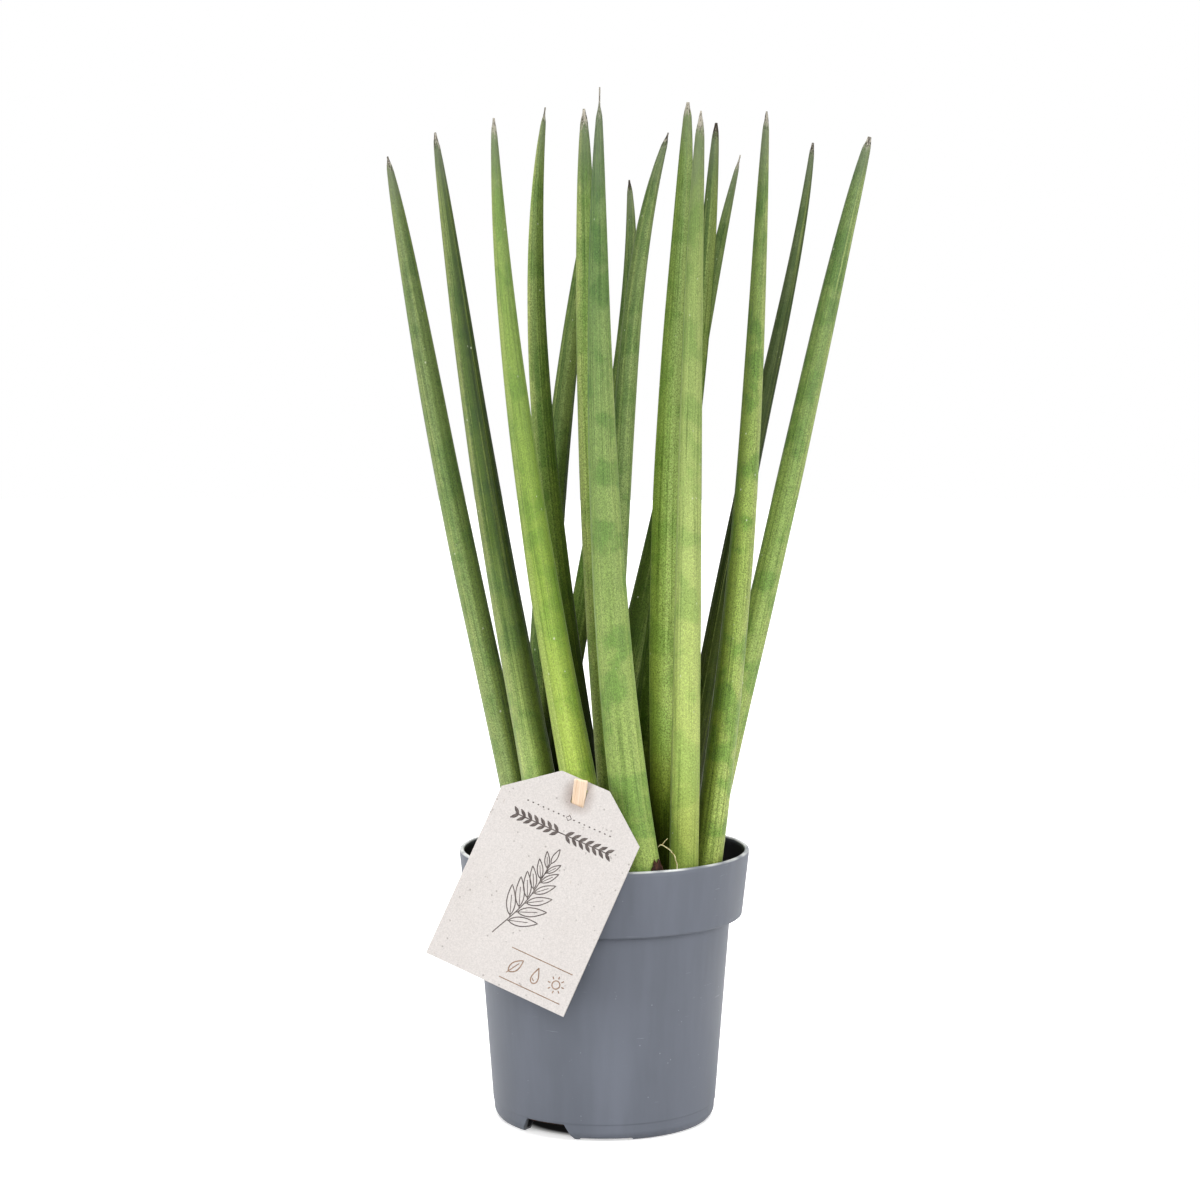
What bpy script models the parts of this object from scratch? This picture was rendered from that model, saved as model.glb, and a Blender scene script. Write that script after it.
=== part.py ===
"""Cylindrical snake plant in a 12 cm nursery pot, with its hang tag on a wooden stick.

Metres, +Z up. The origin is the middle of the pot's foot, on the surface that the pot stands on.
-Y is the front: the tag leans on the front of the pot's rim, a little to the left.
"""

from math import cos, pi, radians, sin, tan

import bmesh
import bpy
from mathutils import Matrix, Vector

MM = 0.001
FIT_GAP = 0.3  # between pieces that touch
EDGE = 0.4  # how far a moulded edge is rounded back

# Pot, a thin moulded shell. Radii and heights in mm.
POT_RIM_RADIUS = 60.0
POT_HEIGHT = 112.0
POT_BEAD = 1.0  # height of the bead round the rim
COLLAR_TOP_RADIUS = 59.3
COLLAR_FOOT_RADIUS = 57.2
COLLAR_FOOT_HEIGHT = 84.7
BODY_TOP_RADIUS = 52.2
BODY_FOOT_RADIUS = 46.3
FOOT_STEP_HEIGHT = 7.2
FOOT_STEP = 0.6  # the body steps in by this much above its foot
FOOT_RADIUS = 42.6  # where the rounded foot meets the ground
POT_WALL = 1.2
FLOOR_RAISED = 4.0  # the floor's underside stands this far off the ground
CENTRE_PAD_RADIUS = 11.0  # the middle of the floor comes down to the ground
FOOT_RING_WIDTH = 3.6
POT_STEPS = 64
COLLAR_EDGE = 0.8  # the rounding under the collar
FOOT_ROUNDING = ((45.1, 2.8), (44.0, 0.7))  # the rounded edge between the body and the ground

# Drainage of the pot
NOTCH_COUNT = 2
NOTCH_FIRST_ANGLE = -122.0  # degrees from +X, so that one is left of the front
NOTCH_WIDTH_AT_GROUND = 25.0
NOTCH_WIDTH_AT_TOP = 18.0
NOTCH_HEIGHT = 6.5
NOTCH_LENGTH = 16.0  # along the pot's radius, so that it clears the foot ring on both sides
DRAIN_COUNT = 8
DRAIN_RADIUS = 3.5
DRAIN_CIRCLE_RADIUS = 27.0
DRAIN_SIDES = 16
BELOW_GROUND = 2.0  # how far a cutter reaches past the face that it opens

# Soil
SOIL_HEIGHT = 98.0  # at the wall
SOIL_MOUND = 1.5  # how much higher it is in the middle
SOIL_SLOPE = ((0.45, 0.9), (0.8, 0.4))  # (share of the radius, share of the mound) on its way out
SOCKET_GAP = 0.45  # round a leaf or the stick
SOCKET_ABOVE = 8.0  # how far a socket's cutter stands out of the soil

# Leaves. The middle line of a leaf goes through its place at the soil, at three heights and at its tip.
LEAF_FOOT_HEIGHT = 78.0  # the buried end
BURIED_PLACE = 0.93  # how far out the buried end is, as a share of the leaf's place at the soil
BURIED_THICKNESS = 0.8  # its thickness, as a share of the leaf's at the soil
LEAF_HEIGHTS = (SOIL_HEIGHT, 170.0, 240.0, 320.0)
LEAN_CURVE = 1.3  # how a leaf's lean to the front or back grows with its height
TAPER_CURVE = 0.6
SPIKE_RADIUS = 0.35
BLUNT_LENGTH = 2.0  # a leaf whose spike is shorter than this ends blunt
BLUNT_SHARE = 0.7  # radius of a blunt end, as a share of the tip's
LEAF_RINGS = 15
LEAF_SIDES_SETTING = 3  # a bevel resolution, which gives 10 sides

# name: (x at the soil, x at the three heights, x at the tip), (y at the soil, y at the tip),
#       height, thickness, fullness, radius of the tip, length of the dry spike, shade
LEAVES = {
    "leaf_01": ((-30.6, -43.8, -58.7, -73.9, -87.5), (-4, -10), 395, 11.8, 3.3, 0.6, 1.5, "mid"),
    "leaf_02": ((-19.0, -31.3, -43.5, -55.6, -66.6), (-19, -38), 402, 14.8, 1.4, 0.7, 1.5, "dark"),
    "leaf_03": ((-0.8, -15.0, -26.7, -37.2, -43.3), (-31, -44), 407, 15.6, 1.1, 0.7, 1.5, "bright"),
    "leaf_04": ((1.5, -11.3, -20.6, -27.2, -24.1), (-4, 4), 416, 11.0, 2.5, 0.5, 3, "mid"),
    "leaf_05": ((-32.5, -27.1, -22.6, -14.4, -3.5), (27, 50), 391, 12.8, 2.0, 0.8, 1.5, "dark"),
    "leaf_06": ((6.6, 0.5, -3.6, -6.5, -8.2), (-18, -20), 413, 11.4, 4.0, 0.8, 1.5, "mid"),
    "leaf_07": ((16.4, 6.5, 1.0, -2.0, -1.9), (-40, -52), 418, 16.6, 1.3, 0.7, 8, "mid"),
    "leaf_08": ((-25.0, -16.4, -4.0, 8.5, 10.6), (12, 48), 390, 9.6, 3.3, 0.6, 1.5, "dark"),
    "leaf_09": ((1.0, 1.5, 5.5, 10.6, 26.7), (8, 28), 408, 9.5, 5.3, 0.5, 1.5, "dark"),
    "leaf_10": ((25.3, 24.9, 25.2, 28.5, 33.4), (-13, -16), 416, 13.6, 2.4, 1.0, 1.5, "mid"),
    "leaf_11": ((31.8, 32.7, 33.5, 34.7, 37.7), (-33, -42), 410, 12.3, 1.5, 1.5, 6, "bright"),
    "leaf_12": ((16.0, 18.4, 28.6, 39.5, 47.1), (8, 38), 413, 11.1, 2.6, 0.9, 1.5, "dark"),
    "leaf_13": ((0.5, 8.8, 23.7, 40.7, 58.7), (30, 66), 402, 15.7, 1.0, 0.5, 3, "dark"),
    "leaf_14": ((39.9, 48.8, 55.2, 59.8, 63.5), (-21, -40), 410, 13.7, 1.0, 0.9, 3, "bright"),
    "leaf_15": ((28.0, 42.6, 56.2, 73.8, 89.8), (23, 64), 407, 12.3, 1.0, 0.8, 1.5, "dark"),
    "leaf_16": ((39.3, 54.7, 70.8, 88.7, 109.2), (1, 14), 405, 11.5, 3.2, 1.2, 1.5, "mid"),
}

SHADES = {"bright": (0.26, 0.42, 0.05), "mid": (0.13, 0.26, 0.05), "dark": (0.05, 0.12, 0.03)}

# Dry sheath round the foot of one front leaf
SHEATH_LEAF = "leaf_07"
SHEATH_TOP = 117.0
SHEATH_FACING = -35.0  # degrees from +X to the middle of the sheath
SHEATH_SPREAD = 80.0  # degrees that it wraps at its foot
SHEATH_THICKNESS = 0.5
SHEATH_POINT = 0.1  # its spread at the top, as a share of that at its foot
SHEATH_ROWS = 8

# Root fibre that curls up beside the same leaf
FIBRE_RADIUS = 0.35
FIBRE_ROUTE = ((22.6, -44.6, 120.6), (25.0, -46.0, 119.4), (27.3, -46.6, 117.2),
               (28.5, -47.0, 114.2), (29.0, -47.2, 110.0), (28.6, -46.8, 104.0), (28.2, -46.4, 99.4))

# Hang tag: a card with two clipped corners, held by a stick through its slot
TAG_WIDTH = 62.0
TAG_SIDE = 72.3
TAG_CLIP_WIDTH = 20.3
TAG_CLIP_HEIGHT = 15.2
TAG_THICKNESS = 0.7
TAG_TURN = -14.0  # degrees round to the left from the front of the pot
TAG_LEAN = 17.0  # degrees back from upright
TAG_ROLL = 20.8  # degrees clockwise, seen from the front
TAG_ALONG_RIM = -0.5
TAG_ABOVE_RIM = 22.2  # from the rim up to the line between its two shoulders
SLOT_WIDTH = 7.2
SLOT_HEIGHT = 8.6
SLOT_BELOW_TOP = 6.5  # to the slot's middle
SLOT_ARC_POINTS = 8

# Stick
STICK_WIDTH = 5.5
STICK_THICKNESS = 1.4
STICK_LENGTH = 100.0
STICK_ABOVE_SLOT = 6.8
STICK_LEAN = 9.0  # degrees towards the front, going up
STICK_SIDE_LEAN = 7.0  # degrees to the right, going up
STICK_ROUNDING = 0.3
STICK_ROUNDING_STEPS = 2


def clearScene():
    for old in list(bpy.data.objects):
        bpy.data.objects.remove(old, do_unlink=True)


def makeCollection(name):
    made = bpy.data.collections.new(name)
    bpy.context.scene.collection.children.link(made)
    return made


def makeMaterial(name, colour, roughness):
    material = bpy.data.materials.new(name)
    material.use_nodes = True
    shader = material.node_tree.nodes["Principled BSDF"]
    shader.inputs["Base Color"].default_value = (*colour, 1.0)
    shader.inputs["Roughness"].default_value = roughness
    shader.inputs["Metallic"].default_value = 0.0
    return material


def addObject(name, data, collection, material=None):
    made = bpy.data.objects.new(name, data)
    collection.objects.link(made)
    if material:
        data.materials.append(material)
    return made


def markCutter(obj):
    obj.hide_render = True
    obj.display_type = "WIRE"
    return obj


def cutFrom(obj, name, cutterCollection):
    """Cuts every shape of the collection out of the object."""
    cut = obj.modifiers.new(name, "BOOLEAN")
    cut.operand_type = "COLLECTION"
    cut.collection = cutterCollection
    cut.operation = "DIFFERENCE"
    cut.solver = "EXACT"


def turned(name, profile, collection, material, steps):
    """A profile of (radius, height) in mm, turned about Z. It starts and ends on the axis, and runs
    down the outer side."""
    mesh = bpy.data.meshes.new(name)
    points = [(radius * MM, 0.0, height * MM) for radius, height in profile]
    edges = [(i, i + 1) for i in range(len(points) - 1)]
    mesh.from_pydata(points, edges, [])
    obj = addObject(name, mesh, collection, material)
    screw = obj.modifiers.new("turn", "SCREW")
    screw.axis = "Z"
    screw.angle = 2 * pi
    screw.steps = steps
    screw.render_steps = steps
    screw.use_merge_vertices = True
    screw.merge_threshold = 0.00001
    return obj


def boxMesh(name, size):
    """A box of this size, in mm, about its own middle."""
    mesh = bpy.data.meshes.new(name)
    shape = bmesh.new()
    bmesh.ops.create_cube(shape, size=1.0, matrix=Matrix.Diagonal((*[side * MM for side in size], 1.0)))
    shape.to_mesh(mesh)
    shape.free()
    return mesh


def tubeCurve(name, route, radii, sidesSetting, collection, material=None):
    """A round bar along the route, in mm, with a radius in mm at each of its points."""
    curve = bpy.data.curves.new(name, "CURVE")
    curve.dimensions = "3D"
    curve.bevel_depth = MM
    curve.bevel_resolution = sidesSetting
    curve.use_fill_caps = True
    spline = curve.splines.new("POLY")
    spline.points.add(len(route) - 1)
    for point, place, radius in zip(spline.points, route, radii):
        point.co = (*[value * MM for value in place], 1.0)
        point.radius = radius
    return addObject(name, curve, collection, material)


def madeMesh(obj):
    """The curve object as a closed mesh object of the same name and place."""
    bpy.context.view_layer.update()
    graph = bpy.context.evaluated_depsgraph_get()
    mesh = bpy.data.meshes.new_from_object(obj.evaluated_get(graph))
    shape = bmesh.new()
    shape.from_mesh(mesh)
    bmesh.ops.remove_doubles(shape, verts=shape.verts, dist=0.000001)
    shape.to_mesh(mesh)
    shape.free()
    name, place, collection = obj.name, obj.matrix_world.copy(), obj.users_collection[0]
    bpy.data.objects.remove(obj, do_unlink=True)
    made = bpy.data.objects.new(name, mesh)
    made.matrix_world = place
    collection.objects.link(made)
    return made


def smoothed(obj, angle=40.0):
    obj.data.shade_smooth()
    obj.data.set_sharp_from_angle(angle=radians(angle))
    return obj


def through(values, places, place):
    """The smooth curve through these values at these places, read at one place."""
    total = 0.0
    for i, value in enumerate(values):
        share = value
        for j, other in enumerate(places):
            if j != i:
                share *= (place - other) / (places[i] - other)
        total += share
    return total


def buriedShare(height, share):
    """1 at the soil and above, and down to this share at the leaf's buried end."""
    depth = max(SOIL_HEIGHT - height, 0.0) / (SOIL_HEIGHT - LEAF_FOOT_HEIGHT)
    return 1 - (1 - share) * depth


def leafPoint(name, height):
    """(x, y) of the leaf's middle line at this height. The buried end draws in to the plant's middle."""
    across, depth, top = LEAVES[name][:3]
    above = max(height, SOIL_HEIGHT)
    share = min((above - SOIL_HEIGHT) / (top - SOIL_HEIGHT), 1.0)
    x = through(across, (*LEAF_HEIGHTS, top), above)
    y = depth[0] + (depth[1] - depth[0]) * share**LEAN_CURVE
    drawn = buriedShare(height, BURIED_PLACE)
    return x * drawn, y * drawn


def leafRadius(name, height):
    top, thickness, fullness, tip, spike = LEAVES[name][2:7]
    share = min(max(height - SOIL_HEIGHT, 0.0) / (top - spike - SOIL_HEIGHT), 1.0)
    full = thickness / 2 * buriedShare(height, BURIED_THICKNESS)
    return tip + (full - tip) * (1 - share**fullness) ** TAPER_CURVE


def leafRings(name):
    """The heights of a leaf's rings, closer together towards the tip."""
    top, _, _, _, spike = LEAVES[name][2:7]
    green = top - spike
    rings = [LEAF_FOOT_HEIGHT]
    for i in range(LEAF_RINGS):
        share = sin(pi / 2 * i / (LEAF_RINGS - 1))
        rings.append(SOIL_HEIGHT + (green - SOIL_HEIGHT) * share)
    rings.append(top)
    return rings


def makeLeaf(name, collection, material):
    heights = leafRings(name)
    route = [(*leafPoint(name, height), height) for height in heights]
    radii = [leafRadius(name, height) for height in heights]
    tip, spike = LEAVES[name][5:7]
    radii[-1] = tip * BLUNT_SHARE if spike < BLUNT_LENGTH else SPIKE_RADIUS
    return tubeCurve(name, route, radii, LEAF_SIDES_SETTING, collection, material)


def leafSocket(name, collection):
    """The room that the leaf takes in the soil: its buried end with the fitting gap round it."""
    heights = (LEAF_FOOT_HEIGHT - FIT_GAP, SOIL_HEIGHT, SOIL_HEIGHT + SOCKET_ABOVE)
    route = [(*leafPoint(name, height), height) for height in heights]
    radii = [leafRadius(name, height) + SOCKET_GAP for height in heights]
    return markCutter(madeMesh(tubeCurve(f"{name}_socket", route, radii, LEAF_SIDES_SETTING, collection)))


def innerWall():
    """The pot's inner side from its rim down to the middle of the floor, as (radius, height)."""
    floorTop = FLOOR_RAISED + POT_WALL
    ringInner = FOOT_RADIUS - FOOT_RING_WIDTH + POT_WALL
    return [
        (COLLAR_TOP_RADIUS - POT_WALL, POT_HEIGHT - POT_BEAD),
        (COLLAR_FOOT_RADIUS - POT_WALL, COLLAR_FOOT_HEIGHT + 2 * POT_WALL),
        (BODY_TOP_RADIUS - POT_WALL, COLLAR_FOOT_HEIGHT + POT_WALL),
        (BODY_FOOT_RADIUS - POT_WALL, FOOT_STEP_HEIGHT + POT_WALL),
        (FOOT_RADIUS + EDGE, POT_WALL + EDGE),
        (FOOT_RADIUS - EDGE, POT_WALL),
        (ringInner, POT_WALL),
        (ringInner - POT_WALL, floorTop),
        (CENTRE_PAD_RADIUS, floorTop),
        (CENTRE_PAD_RADIUS - POT_WALL, POT_WALL),
        (0.0, POT_WALL),
    ]


def outerWall():
    """The pot's outer side from its rim down and in to the middle of its foot."""
    ringInner = FOOT_RADIUS - FOOT_RING_WIDTH
    return [
        (POT_RIM_RADIUS - EDGE, POT_HEIGHT),
        (POT_RIM_RADIUS, POT_HEIGHT - EDGE),
        (POT_RIM_RADIUS, POT_HEIGHT - POT_BEAD),
        (COLLAR_TOP_RADIUS, POT_HEIGHT - POT_BEAD - EDGE),
        (COLLAR_FOOT_RADIUS, COLLAR_FOOT_HEIGHT + COLLAR_EDGE),
        (COLLAR_FOOT_RADIUS - COLLAR_EDGE, COLLAR_FOOT_HEIGHT),
        (BODY_TOP_RADIUS, COLLAR_FOOT_HEIGHT),
        (BODY_FOOT_RADIUS, FOOT_STEP_HEIGHT),
        (BODY_FOOT_RADIUS - FOOT_STEP, FOOT_STEP_HEIGHT - EDGE),
        *FOOT_ROUNDING,
        (FOOT_RADIUS, 0.0),
        (ringInner, 0.0),
        (ringInner - EDGE, FLOOR_RAISED),
        (CENTRE_PAD_RADIUS + POT_WALL, FLOOR_RAISED),
        (CENTRE_PAD_RADIUS, 0.0),
        (0.0, 0.0),
    ]


def makePot(collection, cutters, material):
    rimInner = (COLLAR_TOP_RADIUS - POT_WALL + EDGE, POT_HEIGHT)
    profile = [*reversed(innerWall()), rimInner, *outerWall()]
    pot = turned("pot", profile, collection, material, POT_STEPS)
    for i in range(NOTCH_COUNT):
        makeNotch(i, cutters)
    for i in range(DRAIN_COUNT):
        makeDrain(i, cutters)
    cutFrom(pot, "drainage", cutters)
    return pot


def makeNotch(number, cutters):
    """One gap with sloping sides through the foot ring, from its outside to its inside."""
    mesh = boxMesh(f"foot_notch_{number + 1}", (NOTCH_LENGTH, NOTCH_WIDTH_AT_GROUND, NOTCH_HEIGHT))
    for vertex in mesh.vertices:
        high = vertex.co.z > 0
        width = NOTCH_WIDTH_AT_TOP if high else NOTCH_WIDTH_AT_GROUND
        vertex.co.y *= width / NOTCH_WIDTH_AT_GROUND
        vertex.co.z = (NOTCH_HEIGHT if high else -BELOW_GROUND) * MM
    notch = markCutter(addObject(mesh.name, mesh, cutters))
    angle = radians(NOTCH_FIRST_ANGLE + 360.0 / NOTCH_COUNT * number)
    reach = FOOT_RADIUS * MM
    notch.location = (reach * cos(angle), reach * sin(angle), 0.0)
    notch.rotation_euler = (0.0, 0.0, angle)


def makeDrain(number, cutters):
    """One round hole through the raised floor."""
    mesh = bpy.data.meshes.new(f"drain_hole_{number + 1}")
    shape = bmesh.new()
    radius = DRAIN_RADIUS * MM
    depth = (POT_WALL + 2 * BELOW_GROUND) * MM
    bmesh.ops.create_cone(shape, cap_ends=True, segments=DRAIN_SIDES, radius1=radius, radius2=radius, depth=depth)
    shape.to_mesh(mesh)
    shape.free()
    hole = markCutter(addObject(mesh.name, mesh, cutters))
    angle = 2 * pi * (number + 0.5) / DRAIN_COUNT
    reach = DRAIN_CIRCLE_RADIUS * MM
    hole.location = (reach * cos(angle), reach * sin(angle), (FLOOR_RAISED + POT_WALL / 2) * MM)


def makeSoil(collection, cutters, material):
    """The soil fills the pot from its floor up, and every leaf stands in a socket of its own."""
    rim, collarFoot, bodyTop, bodyFoot = innerWall()[:4]
    rise = (SOIL_HEIGHT - collarFoot[1]) / (rim[1] - collarFoot[1])
    wallRadius = collarFoot[0] + rise * (rim[0] - collarFoot[0])
    bottom = FLOOR_RAISED + POT_WALL + FIT_GAP
    profile = [(0.0, SOIL_HEIGHT + SOIL_MOUND)]
    for across, mound in SOIL_SLOPE:
        profile.append((wallRadius * across, SOIL_HEIGHT + SOIL_MOUND * mound))
    profile += [
        (wallRadius - FIT_GAP, SOIL_HEIGHT),
        (collarFoot[0] - FIT_GAP, collarFoot[1] + FIT_GAP),
        (bodyTop[0] - FIT_GAP, bodyTop[1] + FIT_GAP),
        (bodyFoot[0] - FIT_GAP, bodyFoot[1]),
        (bodyFoot[0] - 3 * FIT_GAP, bottom),
        (0.0, bottom),
    ]
    soil = turned("soil", profile, collection, material, POT_STEPS)
    for name in LEAVES:
        leafSocket(name, cutters)
    cutFrom(soil, "sockets", cutters)
    return soil


def tagFrame():
    """Where the middle of the tag's shoulder line is on its back, with the tag's right, up and front."""
    turn, lean, roll = radians(TAG_TURN), radians(TAG_LEAN), radians(TAG_ROLL)
    front = Vector((sin(turn) * cos(lean), -cos(turn) * cos(lean), sin(lean)))
    level = Vector((cos(turn), sin(turn), 0.0))
    upright = front.cross(level)
    if upright.z < 0:
        upright = -upright
    right = level * cos(roll) - upright * sin(roll)
    up = level * sin(roll) + upright * cos(roll)
    reach = POT_RIM_RADIUS + 1.5 * FIT_GAP
    touch = Vector((sin(turn) * reach, -cos(turn) * reach, POT_HEIGHT))
    return touch + level * TAG_ALONG_RIM + upright * TAG_ABOVE_RIM, right, up, front


def slotMiddle():
    place, _, up, front = tagFrame()
    return place + up * (TAG_CLIP_HEIGHT - SLOT_BELOW_TOP) + front * TAG_THICKNESS / 2


def addOutline(curve, points):
    spline = curve.splines.new("POLY")
    spline.points.add(len(points) - 1)
    for point, (x, y) in zip(spline.points, points):
        point.co = (x * MM, y * MM, 0.0, 1.0)
    spline.use_cyclic_u = True


def makeTag(collection, material):
    half = TAG_WIDTH / 2
    outline = [(-half, 0.0), (-half, -TAG_SIDE), (half, -TAG_SIDE), (half, 0.0),
               (half - TAG_CLIP_WIDTH, TAG_CLIP_HEIGHT), (-half + TAG_CLIP_WIDTH, TAG_CLIP_HEIGHT)]
    middle = TAG_CLIP_HEIGHT - SLOT_BELOW_TOP
    straight = (SLOT_HEIGHT - SLOT_WIDTH) / 2
    slot = []
    for side in (1, -1):
        for i in range(SLOT_ARC_POINTS + 1):
            angle = pi * i / SLOT_ARC_POINTS
            slot.append((side * SLOT_WIDTH / 2 * cos(angle),
                         middle + side * (straight + SLOT_WIDTH / 2 * sin(angle))))
    curve = bpy.data.curves.new("care_tag", "CURVE")
    curve.dimensions = "2D"
    curve.fill_mode = "BOTH"
    curve.extrude = TAG_THICKNESS / 2 * MM
    addOutline(curve, outline)
    addOutline(curve, slot)
    tag = addObject("care_tag", curve, collection, material)
    place, right, up, front = tagFrame()
    tag.matrix_world = axesMatrix(place + front * TAG_THICKNESS / 2, right, up, front)
    return tag


def axesMatrix(place, first, second, third):
    """The matrix that puts an object at a place in mm, with these directions as its own axes."""
    turn = Matrix((first, second, third)).transposed().to_4x4()
    return Matrix.Translation(place * MM) @ turn


def stickFrame():
    """The stick's middle, with its right, up and front."""
    lean, side = radians(STICK_LEAN), radians(STICK_SIDE_LEAN)
    turn = radians(TAG_TURN)
    up = Vector((tan(side), -tan(lean), 1.0)).normalized()
    right = up.cross(Vector((-sin(turn), cos(turn), 0.0))) * -1
    right = (right if right.x > 0 else -right).normalized()
    front = right.cross(up)
    middle = slotMiddle() + up * (STICK_ABOVE_SLOT - STICK_LENGTH / 2)
    return middle, right, up, front


def makeStick(collection, cutters, material):
    stick = addObject("tag_stick", boxMesh("tag_stick", (STICK_WIDTH, STICK_LENGTH, STICK_THICKNESS)),
                      collection, material)
    stick.matrix_world = axesMatrix(*stickFrame())
    rounding = stick.modifiers.new("rounded edges", "BEVEL")
    rounding.width = STICK_ROUNDING * MM
    rounding.segments = STICK_ROUNDING_STEPS
    room = [side + 2 * SOCKET_GAP for side in (STICK_WIDTH, STICK_LENGTH, STICK_THICKNESS)]
    socket = markCutter(addObject("tag_stick_socket", boxMesh("tag_stick_socket", room), cutters))
    socket.matrix_world = stick.matrix_world.copy()
    return stick


def makeSheath(collection, material):
    """A pointed, curved scale that hugs the leaf's foot."""
    foot = SOIL_HEIGHT + SOIL_MOUND + FIT_GAP
    mesh = bpy.data.meshes.new("dry_sheath")
    points = []
    for row in range(SHEATH_ROWS + 1):
        rise = row / SHEATH_ROWS
        height = foot + (SHEATH_TOP - foot) * rise
        x, y = leafPoint(SHEATH_LEAF, height)
        reach = leafRadius(SHEATH_LEAF, height) + SHEATH_THICKNESS + 2 * FIT_GAP
        spread = SHEATH_SPREAD * (1 - (1 - SHEATH_POINT) * rise**2)
        for column in range(SHEATH_ROWS + 1):
            angle = radians(SHEATH_FACING + spread * (column / SHEATH_ROWS - 0.5))
            points.append([value * MM for value in (x + reach * cos(angle), y + reach * sin(angle), height)])
    faces = []
    for row in range(SHEATH_ROWS):
        for column in range(SHEATH_ROWS):
            corner = row * (SHEATH_ROWS + 1) + column
            above = corner + SHEATH_ROWS + 1
            faces.append((corner, corner + 1, above + 1, above))
    mesh.from_pydata(points, [], faces)
    sheath = addObject("dry_sheath", mesh, collection, material)
    wall = sheath.modifiers.new("thickness", "SOLIDIFY")
    wall.thickness = SHEATH_THICKNESS * MM
    wall.offset = -1.0
    return smoothed(sheath)


def makeFibre(collection, material):
    radii = [FIBRE_RADIUS] * len(FIBRE_ROUTE)
    return tubeCurve("root_fibre", FIBRE_ROUTE, radii, 1, collection, material)


def main():
    clearScene()
    plant = makeCollection("cylindrical_snake_plant")
    drainage = makeCollection("drainage_cutters")
    sockets = makeCollection("socket_cutters")

    plastic = makeMaterial("pot_plastic", (0.170, 0.185, 0.215), 0.42)
    earth = makeMaterial("soil", (0.035, 0.022, 0.014), 0.95)
    card = makeMaterial("tag_card", (0.78, 0.74, 0.70), 0.85)
    wood = makeMaterial("stick_wood", (0.83, 0.62, 0.42), 0.65)
    husk = makeMaterial("dry_husk", (0.22, 0.11, 0.06), 0.85)
    root = makeMaterial("root_fibre", (0.72, 0.68, 0.42), 0.7)

    smoothed(makePot(plant, drainage, plastic))
    makeStick(plant, sockets, wood)
    makeSoil(plant, sockets, earth)
    for name, leaf in LEAVES.items():
        skin = makeMaterial(f"{name}_skin", SHADES[leaf[-1]], 0.5)
        makeLeaf(name, plant, skin)
    makeTag(plant, card)
    makeSheath(plant, husk)
    makeFibre(plant, root)


main()
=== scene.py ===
from math import cos, pi, radians, sin, sqrt

import bmesh
import bpy
import numpy as np
from mathutils import Matrix, Vector


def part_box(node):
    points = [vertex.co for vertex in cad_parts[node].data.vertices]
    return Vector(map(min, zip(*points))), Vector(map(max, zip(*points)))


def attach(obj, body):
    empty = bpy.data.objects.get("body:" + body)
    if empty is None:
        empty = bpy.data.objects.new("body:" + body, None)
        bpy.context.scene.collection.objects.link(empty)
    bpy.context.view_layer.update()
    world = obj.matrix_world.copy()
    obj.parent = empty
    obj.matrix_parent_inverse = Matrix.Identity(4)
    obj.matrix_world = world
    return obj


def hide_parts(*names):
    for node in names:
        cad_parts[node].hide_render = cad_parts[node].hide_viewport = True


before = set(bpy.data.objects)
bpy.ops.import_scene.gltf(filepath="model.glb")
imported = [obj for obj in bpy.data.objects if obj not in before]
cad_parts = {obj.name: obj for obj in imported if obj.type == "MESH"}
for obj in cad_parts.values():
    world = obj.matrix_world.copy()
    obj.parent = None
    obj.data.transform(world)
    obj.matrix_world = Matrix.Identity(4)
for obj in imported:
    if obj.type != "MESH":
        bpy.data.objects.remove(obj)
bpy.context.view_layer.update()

scene = bpy.context.scene
mm = 0.001
print("frame loaded:", len(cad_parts), "nodes")


# small helpers

def colour(red, green, blue):
    # a screen colour of 0 to 255 as a linear one
    parts = [value / 255 for value in (red, green, blue)]
    return (*[p / 12.92 if p <= 0.04045 else ((p + 0.055) / 1.055) ** 2.4 for p in parts], 1.0)


def meshCorners(mesh):
    corners = np.zeros(len(mesh.vertices) * 3)
    mesh.vertices.foreach_get("co", corners)
    return corners.reshape(-1, 3)


def cadCorners(node):
    # the corners of a CAD node, each one once
    return np.unique(np.round(meshCorners(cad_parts[node].data), 6), axis=0)


def cadRings(node, sides):
    # middle and radius of each ring of a CAD bar, from its lowest ring up
    corners = cadCorners(node)
    rings = corners[np.argsort(corners[:, 2])].reshape(-1, sides, 3)
    middles = rings.mean(axis=1)
    return middles, np.linalg.norm(rings - middles[:, None], axis=2).mean(axis=1)


def cadAxes(node):
    # middle of a flat CAD node and its own right, up and front, from how its corners spread
    corners = cadCorners(node)
    middle = corners.mean(axis=0)
    spread = np.linalg.svd(corners - middle)[2]
    up, front = spread[np.abs(spread[:, 2]).argmax()], spread[2]
    up = up * np.sign(up[2])
    front = front * -np.sign(front[1])
    right = np.cross(up, front)
    places = (corners - middle) @ np.array([right, up, front]).T
    shift = (places.max(axis=0) + places.min(axis=0)) / 2
    middle = middle + shift @ np.array([right, up, front])
    return middle, right, up, front, places - shift


def smoothThrough(places, values, wanted):
    # a cubic through the values, with slopes from their neighbours
    slopes = np.gradient(values, places, axis=0)
    first = np.clip(np.searchsorted(places, wanted, side="right") - 1, 0, len(places) - 2)
    step = (places[first + 1] - places[first])[:, None]
    t = (wanted - places[first])[:, None] / step
    return ((2 * t**3 - 3 * t**2 + 1) * values[first] + (t**3 - 2 * t**2 + t) * step * slopes[first]
            + (3 * t**2 - 2 * t**3) * values[first + 1] + (t**3 - t**2) * step * slopes[first + 1])


def softStep(low, high, value):
    t = np.clip((value - low) / (high - low), 0, 1)
    return t * t * (3 - 2 * t)


def units(vectors):
    return vectors / np.linalg.norm(vectors, axis=1)[:, None]


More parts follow.
